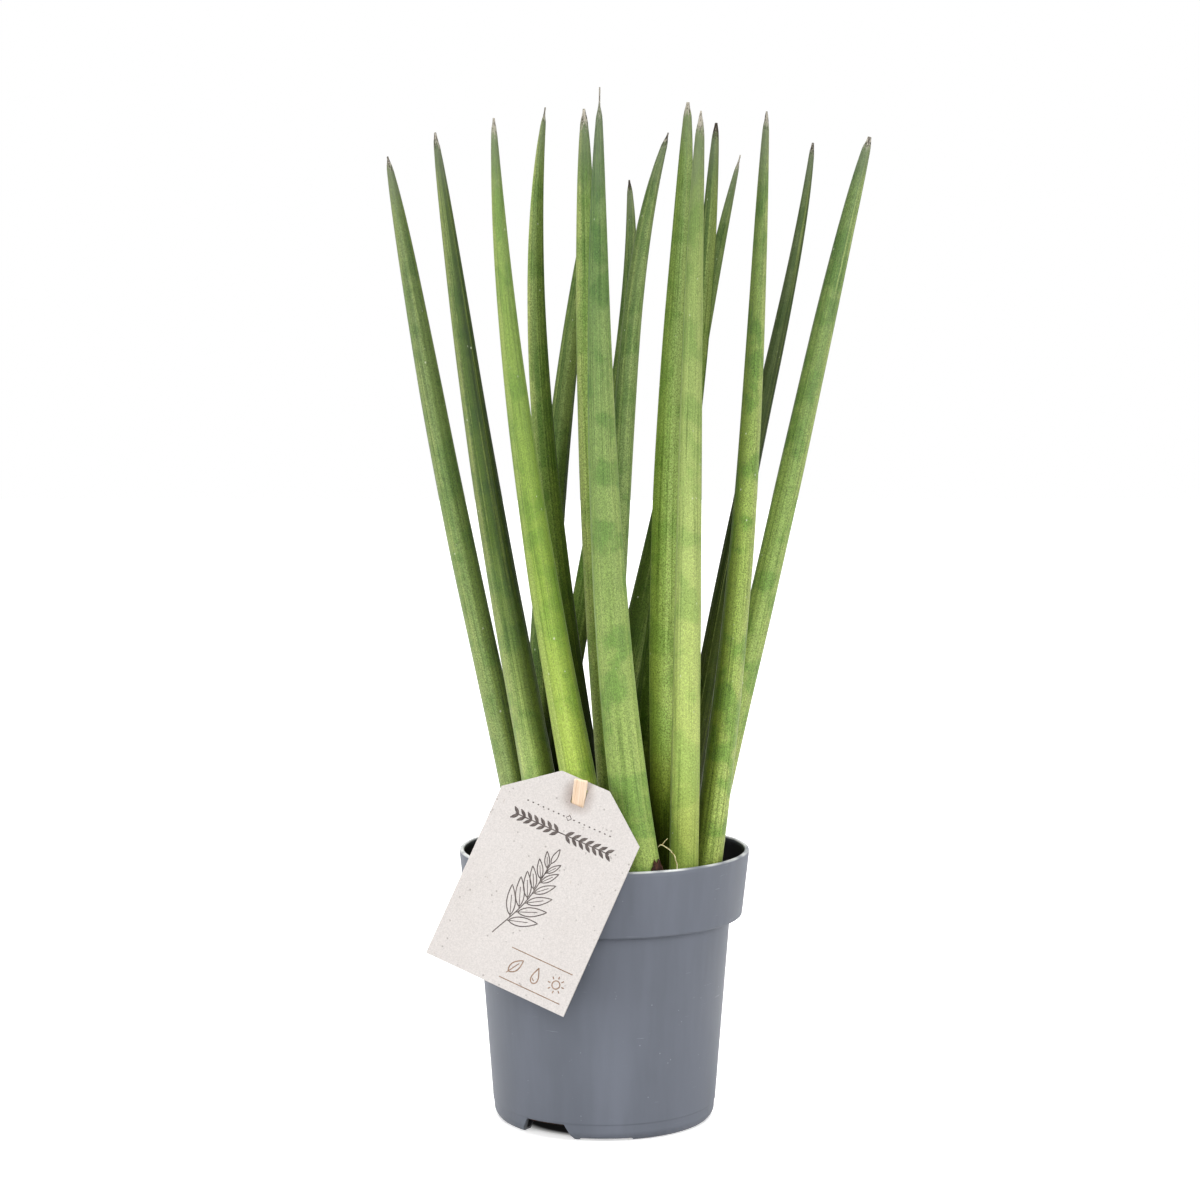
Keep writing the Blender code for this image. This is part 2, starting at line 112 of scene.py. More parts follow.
def lengthsAlong(line):
    # how far along the line each of its points is
    return np.concatenate([[0], np.cumsum(np.linalg.norm(np.diff(line, axis=0), axis=1))])


def linked(name, data):
    obj = bpy.data.objects.new(name, data)
    scene.collection.objects.link(obj)
    return obj


def addPiece(name, mesh, material, nodes=()):
    mesh.materials.clear()
    mesh.materials.append(material)
    piece = linked(name, mesh)
    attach(piece, "root")
    if nodes:
        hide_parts(*nodes)
    return piece


def meshOf(name, points, faces, sharpAngle=None):
    mesh = bpy.data.meshes.new(name)
    mesh.from_pydata(np.asarray(points).tolist(), [], faces)
    mesh.shade_smooth()
    if sharpAngle:
        mesh.set_sharp_from_angle(angle=radians(sharpAngle))
    return mesh


def applied(obj):
    # the object's mesh with its modifiers, and the object gone
    bpy.context.view_layer.update()
    mesh = bpy.data.meshes.new_from_object(obj.evaluated_get(bpy.context.evaluated_depsgraph_get()))
    mesh.transform(obj.matrix_world)
    bpy.data.objects.remove(obj)
    return mesh


def written(shape, name):
    # a mesh from a bmesh, which is freed
    mesh = bpy.data.meshes.new(name)
    shape.to_mesh(mesh)
    shape.free()
    return mesh


def stamp(mesh, name, values, kind="FLOAT_VECTOR", field="vector"):
    # values kept at each point of the mesh, for its material
    flat = np.asarray(values, np.float32).ravel()
    mesh.attributes.new(name, kind, "POINT").data.foreach_set(field, flat)


def barFaces(rings, sides, flipped=False):
    # quads between rings of points, and a fan at each end to one of the two points that follow the rings
    faces = []
    for first in range(0, (rings - 1) * sides, sides):
        for i in range(sides):
            a, b = first + i, first + (i + 1) % sides
            faces.append((a, b, b + sides, a + sides))
    last, ends = (rings - 1) * sides, rings * sides
    for i in range(sides):
        j = (i + 1) % sides
        faces.append((j, i, ends))
        faces.append((last + i, last + j, ends + 1))
    return [face[::-1] for face in faces] if flipped else faces


# shader maths

class Socket:
    # one output of a node, so that shader maths reads as ordinary sums
    def __init__(self, finish, output):
        self.finish = finish
        self.output = output

    def maths(self, operation, *values):
        return self.finish.node("ShaderNodeMath", {"operation": operation}, dict(enumerate(values)))

    def __add__(self, other):
        return self.maths("ADD", self, other)

    def __radd__(self, other):
        return self.maths("ADD", other, self)

    def __sub__(self, other):
        return self.maths("SUBTRACT", self, other)

    def __rsub__(self, other):
        return self.maths("SUBTRACT", other, self)

    def __mul__(self, other):
        return self.maths("MULTIPLY", self, other)

    def __rmul__(self, other):
        return self.maths("MULTIPLY", other, self)

    def __truediv__(self, other):
        return self.maths("DIVIDE", self, other)

    def __pow__(self, other):
        return self.maths("POWER", self, other)

    def __abs__(self):
        return self.maths("ABSOLUTE", self)

    def sibling(self, name):
        return Socket(self.finish, self.output.node.outputs[name])


class Finish:
    # a material with one Principled shader; every other node comes from node()
    def __init__(self, name, fixed):
        self.material = bpy.data.materials.new(name)
        self.material.use_nodes = True
        self.tree = self.material.node_tree
        self.shader = self.tree.nodes["Principled BSDF"]
        self.put(fixed)

    def feed(self, socket, value):
        if isinstance(value, Socket):
            self.tree.links.new(value.output, socket)
        else:
            socket.default_value = value

    def put(self, values):
        for name, value in values.items():
            self.feed(self.shader.inputs[name], value)

    def node(self, kind, settings, inputs, output=0):
        made = self.tree.nodes.new(kind)
        for name, value in settings.items():
            if name == "stops":
                ramp = made.color_ramp
                while len(ramp.elements) < len(value):
                    ramp.elements.new(0.5)
                for element, (place, shade) in zip(ramp.elements, value):
                    element.position = place
                    element.color = shade
            else:
                setattr(made, name, value)
        for name, value in inputs.items():
            self.feed(made.inputs[name], value)
        return Socket(self, made.outputs[output])

    def place(self):
        return self.node("ShaderNodeTexCoord", {}, {}, "Object")

    def attribute(self, name):
        return self.node("ShaderNodeAttribute", {"attribute_name": name}, {}, "Vector")

    def axes(self, vector):
        x = self.node("ShaderNodeSeparateXYZ", {}, {0: vector})
        return x, x.sibling("Y"), x.sibling("Z")

    def stretched(self, vector, scale):
        return self.node("ShaderNodeVectorMath", {"operation": "MULTIPLY"}, {0: vector, 1: scale})

    def moved(self, vector, other):
        return self.node("ShaderNodeVectorMath", {"operation": "ADD"}, {0: vector, 1: other})

    def noise(self, vector, scale, detail=2.0, roughness=0.5, distortion=0.0):
        return self.node("ShaderNodeTexNoise", {}, {
            "Vector": vector, "Scale": scale, "Detail": detail, "Roughness": roughness, "Distortion": distortion})

    def drawnOut(self, vector, scale, *more):
        # noise with a scale of its own along each axis
        return self.noise(self.stretched(vector, scale), 1.0, *more)

    def cells(self, vector, scale):
        return self.node("ShaderNodeTexVoronoi", {"feature": "F1"}, {"Vector": vector, "Scale": scale}, "Distance")

    def between(self, value, low, high, fromValue=0.0, toValue=1.0):
        return self.node("ShaderNodeMapRange", {"interpolation_type": "SMOOTHSTEP"}, {
            "Value": value, "From Min": low, "From Max": high, "To Min": fromValue, "To Max": toValue})

    def ramp(self, value, stops):
        stops = [(place, colour(*shade)) for place, shade in stops]
        return self.node("ShaderNodeValToRGB", {"stops": stops}, {0: value})

    def mixed(self, factor, first, second, blend="MIX"):
        settings = {"data_type": "RGBA", "blend_type": blend}
        return self.node("ShaderNodeMix", settings, {0: factor, 6: first, 7: second}, 2)

    def tinted(self, shade, value):
        # a colour made darker or lighter by a value
        grey = self.node("ShaderNodeCombineColor", {}, {0: value, 1: value, 2: value})
        return self.mixed(1.0, shade, grey, "MULTIPLY")

    def dyed(self, factor, shade, tint):
        # a colour seen through a tint
        return self.mixed(factor, shade, (*tint, 1.0), "MULTIPLY")

    def painted(self, factor, shade, cover):
        return self.mixed(factor, shade, colour(*cover))

    def bumped(self, height, distance, strength=1.0):
        return self.node("ShaderNodeBump", {}, {"Height": height, "Distance": distance, "Strength": strength})

    def coated(self, shade, roughness, normal):
        self.put({"Base Color": shade, "Roughness": roughness, "Normal": normal})
        return self.material


# camera

cameraLook = {
    "place": (-0.0018, -1.100, 0.303),
    "pitchDown": 0.080,  # radians
    "lens": 80.3,
    "sensor": 36.0,
}
cameraData = bpy.data.cameras.new("camera")
cameraData.lens = cameraLook["lens"]
cameraData.sensor_width = cameraLook["sensor"]
cameraData.clip_start = 0.01
camera = linked("camera", cameraData)
camera.location = cameraLook["place"]
camera.rotation_euler = (pi / 2 - cameraLook["pitchDown"], 0, 0)
scene.camera = camera
scene.view_settings.view_transform = "Standard"
print("camera made")


# leaves

leafShape = {
    "cadSides": 10,
    "sides": 96,
    "rings": 150,
    "grooves": 11,  # fine grooves along a leaf
    "grooveDepth": (0.05, 0.20),  # mm
    "grooveWidth": (0.30, 0.65),  # mm
    "channelDepth": 0.55,  # mm, the broad channel on the side that faces the plant's middle
    "channelWidth": 2.2,  # mm
    "facets": 0.010,  # how far a leaf is from round, as a share of its radius
    "waviness": 0.006,
    "seed": 41,
}

# foot, middle and top are the skin's colours, darker on leaves that stand in shade and lighter on lit ones, so they
# hold painted shade and light too. bands is the strength of the dark cross bands and mottle that of the grain.
# paintedHighlight is the strength of the pale stripe, a painted highlight, and side its direction in degrees, from +X
# round to the back. shade is how much darker the side that dark points to is painted, a painted shade. footShade is
# how dark the foot is painted as shade, and up to which height in mm. dry is the length of the dried tip in mm and
# bleach how pale it is.
leafKeys = ("foot", "middle", "top", "bands", "mottle", "paintedHighlight", "side", "shade", "dark", "footShade", "dry", "bleach")
leafRows = {
    "leaf_01": ((148, 168, 102), (124, 148, 82), (110, 128, 78), 0.7, 1.1, 0.20, -150, 0.74, -5, (0.0, 60), 6, 0.45),
    "leaf_02": ((184, 208, 122), (60, 86, 8), (84, 104, 50), 0.8, 1.0, 0.35, -160, 0.85, -10, (0.0, 60), 7, 0.50),
    "leaf_03": ((182, 204, 92), (140, 168, 66), (128, 152, 80), 0.6, 0.8, 0.30, -160, 0.30, 0, (0.0, 60), 8, 0.75),
    "leaf_04": ((96, 118, 44), (104, 128, 56), (126, 146, 88), 0.7, 1.2, 0.55, -165, 0.80, -15, (0.75, 150), 7, 0.45),
    "leaf_05": ((72, 92, 32), (90, 114, 60), (96, 116, 60), 0.6, 1.1, 0.20, -60, 0.55, 0, (0.7, 80), 6, 0.40),
    "leaf_06": ((84, 102, 42), (180, 204, 106), (112, 140, 74), 0.6, 1.1, 0.55, -155, 0.10, 0, (0.5, 60), 9, 0.60),
    "leaf_07": ((154, 178, 92), (132, 156, 84), (86, 117, 61), 0.9, 1.1, 0.10, -50, 0.00, 0, (0.1, 60), 12, 0.60),
    "leaf_08": ((58, 74, 22), (108, 132, 66), (94, 112, 70), 0.6, 1.1, 0.20, -40, 0.10, 180, (0.93, 135), 6, 0.20),
    "leaf_09": ((122, 144, 70), (136, 160, 94), (98, 118, 68), 0.7, 1.2, 0.12, -45, 0.20, 180, (0.45, 60), 7, 0.25),
    "leaf_10": ((206, 226, 132), (164, 191, 104), (134, 158, 96), 0.5, 1.2, 0.15, -50, 0.66, 180, (0.92, 75), 6, 0.70),
    "leaf_11": ((192, 208, 114), (174, 192, 112), (118, 140, 74), 0.55, 0.8, 0.25, -35, 0.00, 180, (0.3, 60), 10, 0.75),
    "leaf_12": ((46, 64, 14), (94, 118, 50), (92, 112, 66), 0.7, 1.1, 0.20, -50, 0.35, 0, (0.95, 95), 8, 0.10),
    "leaf_13": ((44, 60, 14), (86, 108, 42), (100, 120, 70), 0.6, 1.1, 0.15, -40, 0.15, 180, (0.7, 90), 8, 0.65),
    "leaf_14": ((182, 202, 112), (154, 176, 88), (112, 134, 76), 1.0, 1.3, 0.40, -25, 0.84, 185, (0.25, 40), 8, 0.50),
    "leaf_15": ((90, 102, 44), (44, 58, 14), (92, 106, 68), 0.6, 1.0, 0.00, -120, 0.45, 0, (0.6, 90), 6, 0.35),
    "leaf_16": ((180, 198, 112), (146, 172, 90), (108, 132, 76), 0.9, 1.2, 0.30, -20, 0.46, 185, (0.0, 60), 6, 0.50),
}
leafLooks = {node: dict(zip(leafKeys, row)) for node, row in leafRows.items()}

leafInk = {
    "bandTint": (0.58, 0.73, 0.57),  # the dark bluish cross bands, as a share of the skin's colour
    "paleAndHighlightShade": (196, 208, 128),  # streaks, pale lines and the pale stripe, which is a painted highlight
    "lineTint": (0.42, 0.48, 0.36),  # thin dark lines
    "shadeTint": (0.90, 1.00, 0.20),  # the painted shade on the darkest sides is more olive
    "greyShade": (112, 120, 98),  # the skin where it starts to dry
    "dryShade": (178, 172, 158),  # the dried tip
    "dryDark": (62, 56, 48),
    "speckShade": (224, 228, 200),
    "roughness": (0.44, 0.60),
    "bandsPerMetre": 78.0,
}


def leafGrooves(number, facing):
    # (angle, depth, width) of each groove; the last one is the broad channel
    draw = np.random.default_rng(leafShape["seed"] + number)
    count = leafShape["grooves"]
    angles = (np.arange(count) + draw.uniform(-0.35, 0.35, count)) * 2 * pi / count
    depths = draw.uniform(*leafShape["grooveDepth"], count) * mm
    widths = draw.uniform(*leafShape["grooveWidth"], count) * mm
    grooves = list(zip(angles, depths, widths))
    grooves.append((facing, leafShape["channelDepth"] * mm, leafShape["channelWidth"] * mm))
    return grooves, draw


def makeLeafMesh(node, number, dryLength):
    middles, radii = cadRings(node, leafShape["cadSides"])
    buried, places = middles[0], middles[1:, 2]
    knots = np.column_stack([middles[1:], radii[1:]])
    rows = leafShape["rings"]
    share = np.linspace(0, 1, rows) ** 0.85
    heights = places[0] + (places[-1] - places[0]) * share
    line = smoothThrough(places, knots, heights)
    line[:, 3] = np.maximum(line[:, 3], radii[-1])
    along = lengthsAlong(line[:, :3])
    tangents = units(np.gradient(line[:, :3], along, axis=0))
    right = units(np.array([1.0, 0, 0]) - tangents * tangents[:, :1])
    back = np.cross(tangents, right)

    sides = leafShape["sides"]
    turn = np.linspace(0, 2 * pi, sides, endpoint=False)[None, :]
    facing = np.arctan2(-line[0, 1], -line[0, 0])
    grooves, draw = leafGrooves(number, facing)
    radius = line[:, 3][:, None]
    green = np.clip((along[-1] - along)[:, None] / (18 * mm), 0, 1)
    cut = np.zeros((rows, sides))
    for i, (angle, depth, width) in enumerate(grooves):
        wander = 0.05 * np.sin(along * draw.uniform(8, 30) + draw.uniform(0, 6))[:, None]
        away = (turn - angle - wander + pi) % (2 * pi) - pi
        fade = green
        if i == len(grooves) - 1:  # the channel closes on the way up
            fade = green * (1 - softStep(0.15, 0.75, share))[:, None]
        cut += depth * fade * np.exp(-((away * radius / width) ** 2))
    phases = draw.uniform(0, 6, 4)
    shape = 1 + leafShape["facets"] * (np.cos(5 * turn + phases[0]) + 0.6 * np.cos(3 * turn + phases[1]))
    shape = shape + leafShape["waviness"] * np.sin(along[:, None] * 95 + 2 * turn + phases[2])
    dried = softStep(dryLength * mm, 0, (along[-1] - along))[:, None]
    shrivel = 0.22 * np.sin(3 * turn + phases[3] + along[:, None] * 700) + 0.15 * np.sin(along[:, None] * 2300)
    shape = shape - shape.max() + 1
    widest = 0.94 + 0.06 * green
    reach = radius * np.minimum(shape + dried * (shrivel - 0.12), widest) - np.minimum(cut, radius * 0.2)
    around = right[:, None] * np.cos(turn)[..., None] + back[:, None] * np.sin(turn)[..., None]
    points = (line[:, None, :3] + around * reach[..., None]).reshape(-1, 3)

    # the buried end is the ring at the soil again, thinner and lower down
    start = line[0, :3]
    ringFoot = start + (points[:sides] - start) * (radii[0] / radii[1]) + (buried - start)
    points = np.concatenate([ringFoot, points, buried[None], line[-1:, :3]])
    mesh = meshOf(node + "_skin", points, barFaces(rows + 1, sides))

    # unrolled place of each point: round the leaf as a unit circle, and along it in metres
    unrolled = np.zeros((len(points), 3))
    ringTurn = np.tile(turn[0], rows + 1)
    unrolled[: len(ringTurn), 0] = np.cos(ringTurn)
    unrolled[: len(ringTurn), 1] = np.sin(ringTurn)
    unrolled[: len(ringTurn), 2] = np.repeat(np.concatenate([[buried[2] - places[0]], along]), sides)
    unrolled[-2, 2] = buried[2] - places[0]
    unrolled[-1, 2] = along[-1]
    stamp(mesh, "unrolled", unrolled)
    return mesh, along[-1], radii.max() / mm


def leafSkin(node, number, look, length, girth):
    # girth is the leaf's radius in mm, so that the grain is equally fine on thick and thin leaves
    footShade, footShadeTop = look["footShade"]
    skin = Finish(node + "_skin", {
        "Specular IOR Level": 0.28 * (1 - footShade), "Sheen Weight": 0.10 * (1 - footShade), "Sheen Roughness": 0.45})
    unrolled = skin.moved(skin.attribute("unrolled"), (0.0, 0.0, 3.7 * number))
    round1, round2, height = skin.axes(skin.attribute("unrolled"))
    share = height / length

    # cells of the skin, well under a millimetre, and larger patches of them
    grain = skin.drawnOut(unrolled, (1.5 * girth, 1.5 * girth, 1300.0), 3.0, 0.8)
    grain = skin.between(grain, 0.38, 0.62)
    fine = skin.drawnOut(unrolled, (2.3 * girth, 2.3 * girth, 2100.0), 2.0, 0.7)
    fine = skin.between(fine, 0.38, 0.62)
    patch = skin.drawnOut(unrolled, (2.2, 2.2, 180.0), 3.0, 0.6)

    slow = skin.drawnOut(unrolled, (1.2, 1.2, 16.0), 2.0)
    stops = [(0.08, look["foot"]), (0.45, look["middle"]), (0.92, look["top"])]
    body = skin.ramp(share + (slow - 0.5) * 0.25, stops)

    # a broad pale stripe along one side, with a wandering edge, painted as a highlight, and a darker side painted as
    # shade
    wander = skin.drawnOut(unrolled, (0.6, 0.6, 20.0), 3.0)
    sideways = round1 * cos(radians(look["side"])) + round2 * sin(radians(look["side"]))
    stripe = skin.between(sideways + (wander - 0.5) * 0.35 + (grain - 0.5) * 0.08, 0.70, 0.97)
    body = skin.painted(stripe * look["paintedHighlight"], body, leafInk["paleAndHighlightShade"])
    # painted shade: the side that dark points to is made darker
    towardShade = round1 * cos(radians(look["dark"])) + round2 * sin(radians(look["dark"]))
    paintedShadeSide = skin.between(towardShade + (wander - 0.5) * 0.3, -0.2, 0.8)

    # cross bands: short in height, long round the leaf, soft at their edges and broken up
    crossed = skin.drawnOut(unrolled, (0.40, 0.40, leafInk["bandsPerMetre"]), 2.0, 0.5, 0.3)
    bands = skin.between(crossed + (patch - 0.5) * 0.18 + (grain - 0.5) * 0.05, 0.48, 0.61)
    body = skin.dyed(bands * look["bands"], body, leafInk["bandTint"])

    # streaks and long thin lines, which run along the leaf
    streak = skin.drawnOut(unrolled, (4.5, 4.5, 7.0), 4.0, 0.65)
    body = skin.painted(skin.between(streak, 0.52, 0.70) * 0.24, body, leafInk["paleAndHighlightShade"])
    lineField = skin.drawnOut(unrolled, (0.40 * girth, 0.40 * girth, 3.5), 2.0, 0.5)
    lines = skin.between(abs(lineField - 0.5), 0.032, 0.008)
    lines = lines * skin.between(wander + (patch - 0.5) * 0.4, 0.38, 0.55)
    paleLines = skin.between(abs(lineField - 0.60), 0.032, 0.008)
    paleLines = paleLines * skin.between(slow + (patch - 0.5) * 0.4, 0.42, 0.56)
    body = skin.painted(paleLines * 0.22, body, leafInk["paleAndHighlightShade"])
    hair = skin.drawnOut(unrolled, (12.0, 12.0, 16.0), 3.0, 0.6)
    body = skin.dyed(lines * 0.6 + skin.between(hair, 0.42, 0.32) * 0.40, body, leafInk["lineTint"])

    # light is the skin's own grain, patches and streaks, lighter and darker at random
    light = 1 + (grain * 0.40 + fine * 0.46 - 0.43) * look["mottle"] + (patch - 0.5) * 0.22 + (streak - 0.5) * 0.32
    # lit is painted shade: the side that dark points to is darker, and so is the foot
    lit = 1 - paintedShadeSide * (1 - share * 0.6) * look["shade"]
    lit = lit * (1 - skin.between(height, footShadeTop * mm, footShadeTop * mm / 4) * footShade)
    body = skin.tinted(body, light * lit)
    body = skin.dyed(1 - lit, body, leafInk["shadeTint"])
    scars = skin.cells(skin.moved(skin.stretched(unrolled, (1.1, 1.1, 150.0)), (5.0, 0.0, 0.0)), 1.0)
    scarred = skin.between(scars, 0.085, 0.05) * skin.between(patch, 0.48, 0.56)
    body = skin.painted(scarred * 0.65, body, leafInk["speckShade"])

    # the skin greys towards the tip, which dries out
    fromTip = (length - height) / (look["dry"] * mm)
    greyed = skin.between(fromTip + (patch - 0.5) * 2.5, 4.5, 0.8)
    body = skin.painted(greyed * 0.6, body, leafInk["greyShade"])
    dried = skin.between(fromTip + (grain - 0.5) * 0.5 + (patch - 0.5) * 1.2, 1.0, 0.45)
    crumpled = skin.drawnOut(unrolled, (1.6, 1.6, 620.0), 3.0, 0.7)
    crust = skin.mixed(skin.between(crumpled + look["bleach"] * 0.36 - 0.18, 0.44, 0.56),
                       colour(*leafInk["dryDark"]), colour(*leafInk["dryShade"]))
    body = skin.mixed(dried, body, crust)

    low, high = leafInk["roughness"]
    return skin.coated(
        body, skin.between(streak * 0.6 + fine * 0.4, 0.35, 0.65, low, high) + dried * 0.25,
        skin.bumped(hair * 0.8 + streak * 0.6 + grain * 0.25 + scarred * 0.5, 0.14 * mm, 0.8))


for number, (node, look) in enumerate(leafLooks.items(), 1):
    mesh, length, girth = makeLeafMesh(node, number, look["dry"])
    addPiece(node + "_skin", mesh, leafSkin(node, number, look, length, girth), [node])
print("leaves made:", len(leafLooks))


# pot

potShape = {
    "steps": 256,
    "wall": 1.2,  # mm, as all of these
    "lip": 0.95,  # half the thickness of the rolled rim
    "collarFoot": 84.7,
    "step": 7.2,
    "floor": 4.0,
    "pad": 11.0,
    "ring": 3.6,
    "footCurve": ((45.7, 2.4, 1.4), (44.0, 0.2, 0.9)),  # (radius, height, rounding)
    "notches": 2,
    "notchAngle": -122.0,
    "notchWidth": (25.0, 18.0),
    "notchHeight": 6.5,
    "drains": 8,
    "drainRadius": 3.5,
    "drainCircle": 27.0,
    "shallowAngle": -89.0,  # a shallow relief under the front of the foot ring
    "shallowWidth": 21.0,
    "shallowHeight": 0.5,
}


def cadReach(node, height):
    # how far out the CAD node reaches at this height in mm
    corners = cadCorners(node) / mm
    near = corners[np.abs(corners[:, 2] - height) < 0.45]
    return float(np.hypot(near[:, 0], near[:, 1]).max())


def filleted(profile, steps=5):
    # (radius, height, rounding) corners as a line with each corner rounded
    line = []
    for i, (x, z, rounding) in enumerate(profile):
        if not rounding or i in (0, len(profile) - 1):
            line.append((x, z))
            continue
        here = Vector((x, z))
        ends = []
        for other in (profile[i - 1], profile[i + 1]):
            way = Vector(other[:2]) - here
            ends.append(here + way.normalized() * min(rounding, way.length * 0.48))
        for j in range(steps + 1):
            t = j / steps
            point = ends[0] * (1 - t) ** 2 + here * 2 * t * (1 - t) + ends[1] * t**2
            line.append((point.x, point.y))
    return line


def turnedMesh(name, line, steps):
    # a closed line from axis to axis, turned about Z
    inner = [(x, z) for x, z in line if x > 1e-6]
    angles = np.linspace(0, 2 * pi, steps, endpoint=False)
    rows = [np.column_stack([x * np.cos(angles), x * np.sin(angles), np.full(steps, z)]) for x, z in inner]
    points = np.concatenate([*rows, [[0, 0, line[0][1]], [0, 0, line[-1][1]]]]) * mm
    return meshOf(name, points, barFaces(len(inner), steps, flipped=True))


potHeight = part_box("pot")[1].z / mm
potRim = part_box("pot")[1].x / mm
potCollarTop = cadReach("pot", potHeight - 1.4)
potCollarFoot = cadReach("pot", potShape["collarFoot"] + 0.8)
potBodyTop = potCollarFoot - 5.0
potBodyFoot = cadReach("pot", potShape["step"])
potFoot = cadReach("pot", 0.0)


def potOutside():
    # (radius, height, rounding) from the rim down to the foot ring
    return [
        (potRim, potHeight, 0.85), (potRim, potHeight - 1.5, 0.5), (potCollarTop, potHeight - 2.0, 0.5),
        (potCollarFoot, potShape["collarFoot"], 0.9), (potBodyTop + 0.3, potShape["collarFoot"], 0.25),
        (potBodyTop, potShape["collarFoot"] - 1.2, 0.4), (potBodyFoot, potShape["step"], 0.25),
        (potBodyFoot - 0.25, potShape["step"] - 0.5, 0.3), *potShape["footCurve"],
        (potFoot, 0.0, 0.3),
    ]


def potProfile():
    shape = potShape
    wall = shape["wall"]
    lip = shape["lip"]
    inside = [
        (0.0, wall, 0), (shape["pad"] - wall, wall, 0.5), (shape["pad"], shape["floor"] + wall, 0.5),
        (potFoot - shape["ring"], shape["floor"] + wall, 0.4), (potFoot - shape["ring"] + wall, wall, 0.3),
        (potFoot - 0.4, wall, 0.6), (potBodyFoot - wall, shape["step"] + wall, 1.5),
        (potBodyTop - wall, shape["collarFoot"] + wall * 0.6, 1.0),
        (potCollarFoot - wall, shape["collarFoot"] + 2 * wall, 1.0),
        (potCollarTop - wall, potHeight - 2.6, 1.0), (potRim - 2 * lip + 0.1, potHeight - 1.6, 0.4),
        (potRim - 2 * lip + 0.1, potHeight, 0.75),
    ]
    under = [
        (potFoot - shape["ring"], 0.0, 0.3), (potFoot - shape["ring"] - 0.4, shape["floor"], 0.3),
        (shape["pad"] + wall, shape["floor"], 0.3), (shape["pad"], 0.0, 0.3), (0.0, 0.0, 0),
    ]
    return filleted(inside + potOutside() + under)


def cutterBlock(name, length, widths, bottom, top, angle, reach):
    # a block along the pot's radius, with one width at its foot and one at its top
    block = bmesh.new()
    bmesh.ops.create_cube(block, size=1.0)
    for corner in block.verts:
        high = corner.co.z > 0
        corner.co.x *= length
        corner.co.y *= widths[high]
        corner.co.z = top if high else bottom
    topEdges = [edge for edge in block.edges if all(corner.co.z > 0 for corner in edge.verts)]
    bmesh.ops.bevel(block, geom=topEdges, offset=0.6, segments=4, profile=0.5, affect="EDGES")
    bmesh.ops.recalc_face_normals(block, faces=block.faces)
    mesh = written(block, name)
    mesh.transform(Matrix.Rotation(radians(angle), 4, "Z") @ Matrix.Translation((reach, 0, 0)))
    mesh.transform(Matrix.Scale(mm, 4))
    return linked(name, mesh)


def cutterRound(name, radius, bottom, top, x, y):
    shape = bmesh.new()
    bmesh.ops.create_cone(shape, cap_ends=True, segments=40, radius1=radius, radius2=radius, depth=top - bottom)
    mesh = written(shape, name)
    mesh.transform(Matrix.Scale(mm, 4) @ Matrix.Translation((x, y, (top + bottom) / 2)))
    return linked(name, mesh)


def makePotMesh():
    shape = potShape
    pot = linked("potBlank", turnedMesh("potBlank", potProfile(), shape["steps"]))
    low, high = shape["notchWidth"]
    below = 2  # mm that a cutter reaches under the ground, where its sides go on sloping
    slope = (high - low) / shape["notchHeight"] * below
    cutters = []
    for i in range(shape["notches"]):
        angle = shape["notchAngle"] + 360 / shape["notches"] * i
        cutters.append(cutterBlock(f"notch{i}", 17, (low - slope, high), -below, shape["notchHeight"],
                                   angle, potFoot))
    width = shape["shallowWidth"]
    cutters.append(cutterBlock("relief", 12, (width + 3, width), -below, shape["shallowHeight"] + 0.6,
                               shape["shallowAngle"], potFoot))
    for i in range(shape["drains"]):
        angle = 2 * pi * (i + 0.5) / shape["drains"]
        reach = shape["drainCircle"]
        cutters.append(cutterRound(f"drain{i}", shape["drainRadius"], 2, 8, reach * cos(angle), reach * sin(angle)))
    for cutter in cutters:
        cut = pot.modifiers.new(cutter.name, "BOOLEAN")
        cut.object = cutter
        cut.operation = "DIFFERENCE"
        cut.solver = "EXACT"
    mesh = applied(pot)
    for cutter in cutters:
        bpy.data.objects.remove(cutter)
    mesh.name = "potShell"
    mesh.shade_smooth()
    mesh.set_sharp_from_angle(angle=radians(38))
    # 1 on the inside of the wall
    heights, reaches = np.array(sorted((z, x) for x, z, _ in potOutside())).T
    corners = meshCorners(mesh) / mm
    outer = np.interp(corners[:, 2], heights, reaches)
    stamp(mesh, "within", np.hypot(corners[:, 0], corners[:, 1]) < outer - shape["wall"] * 0.55, "FLOAT", "value")
    return mesh


potLook = {
    "shade": (99, 104, 114),
    "flowShade": (113, 118, 129),
    "dustShade": (158, 162, 168),
    "insideShade": (24, 23, 22),  # the inside below the rim, painted dark as shade
    "rimHighlightShade": (222, 224, 222),  # painted highlight along the top of the rim
    "roughness": (0.48, 0.58),
}


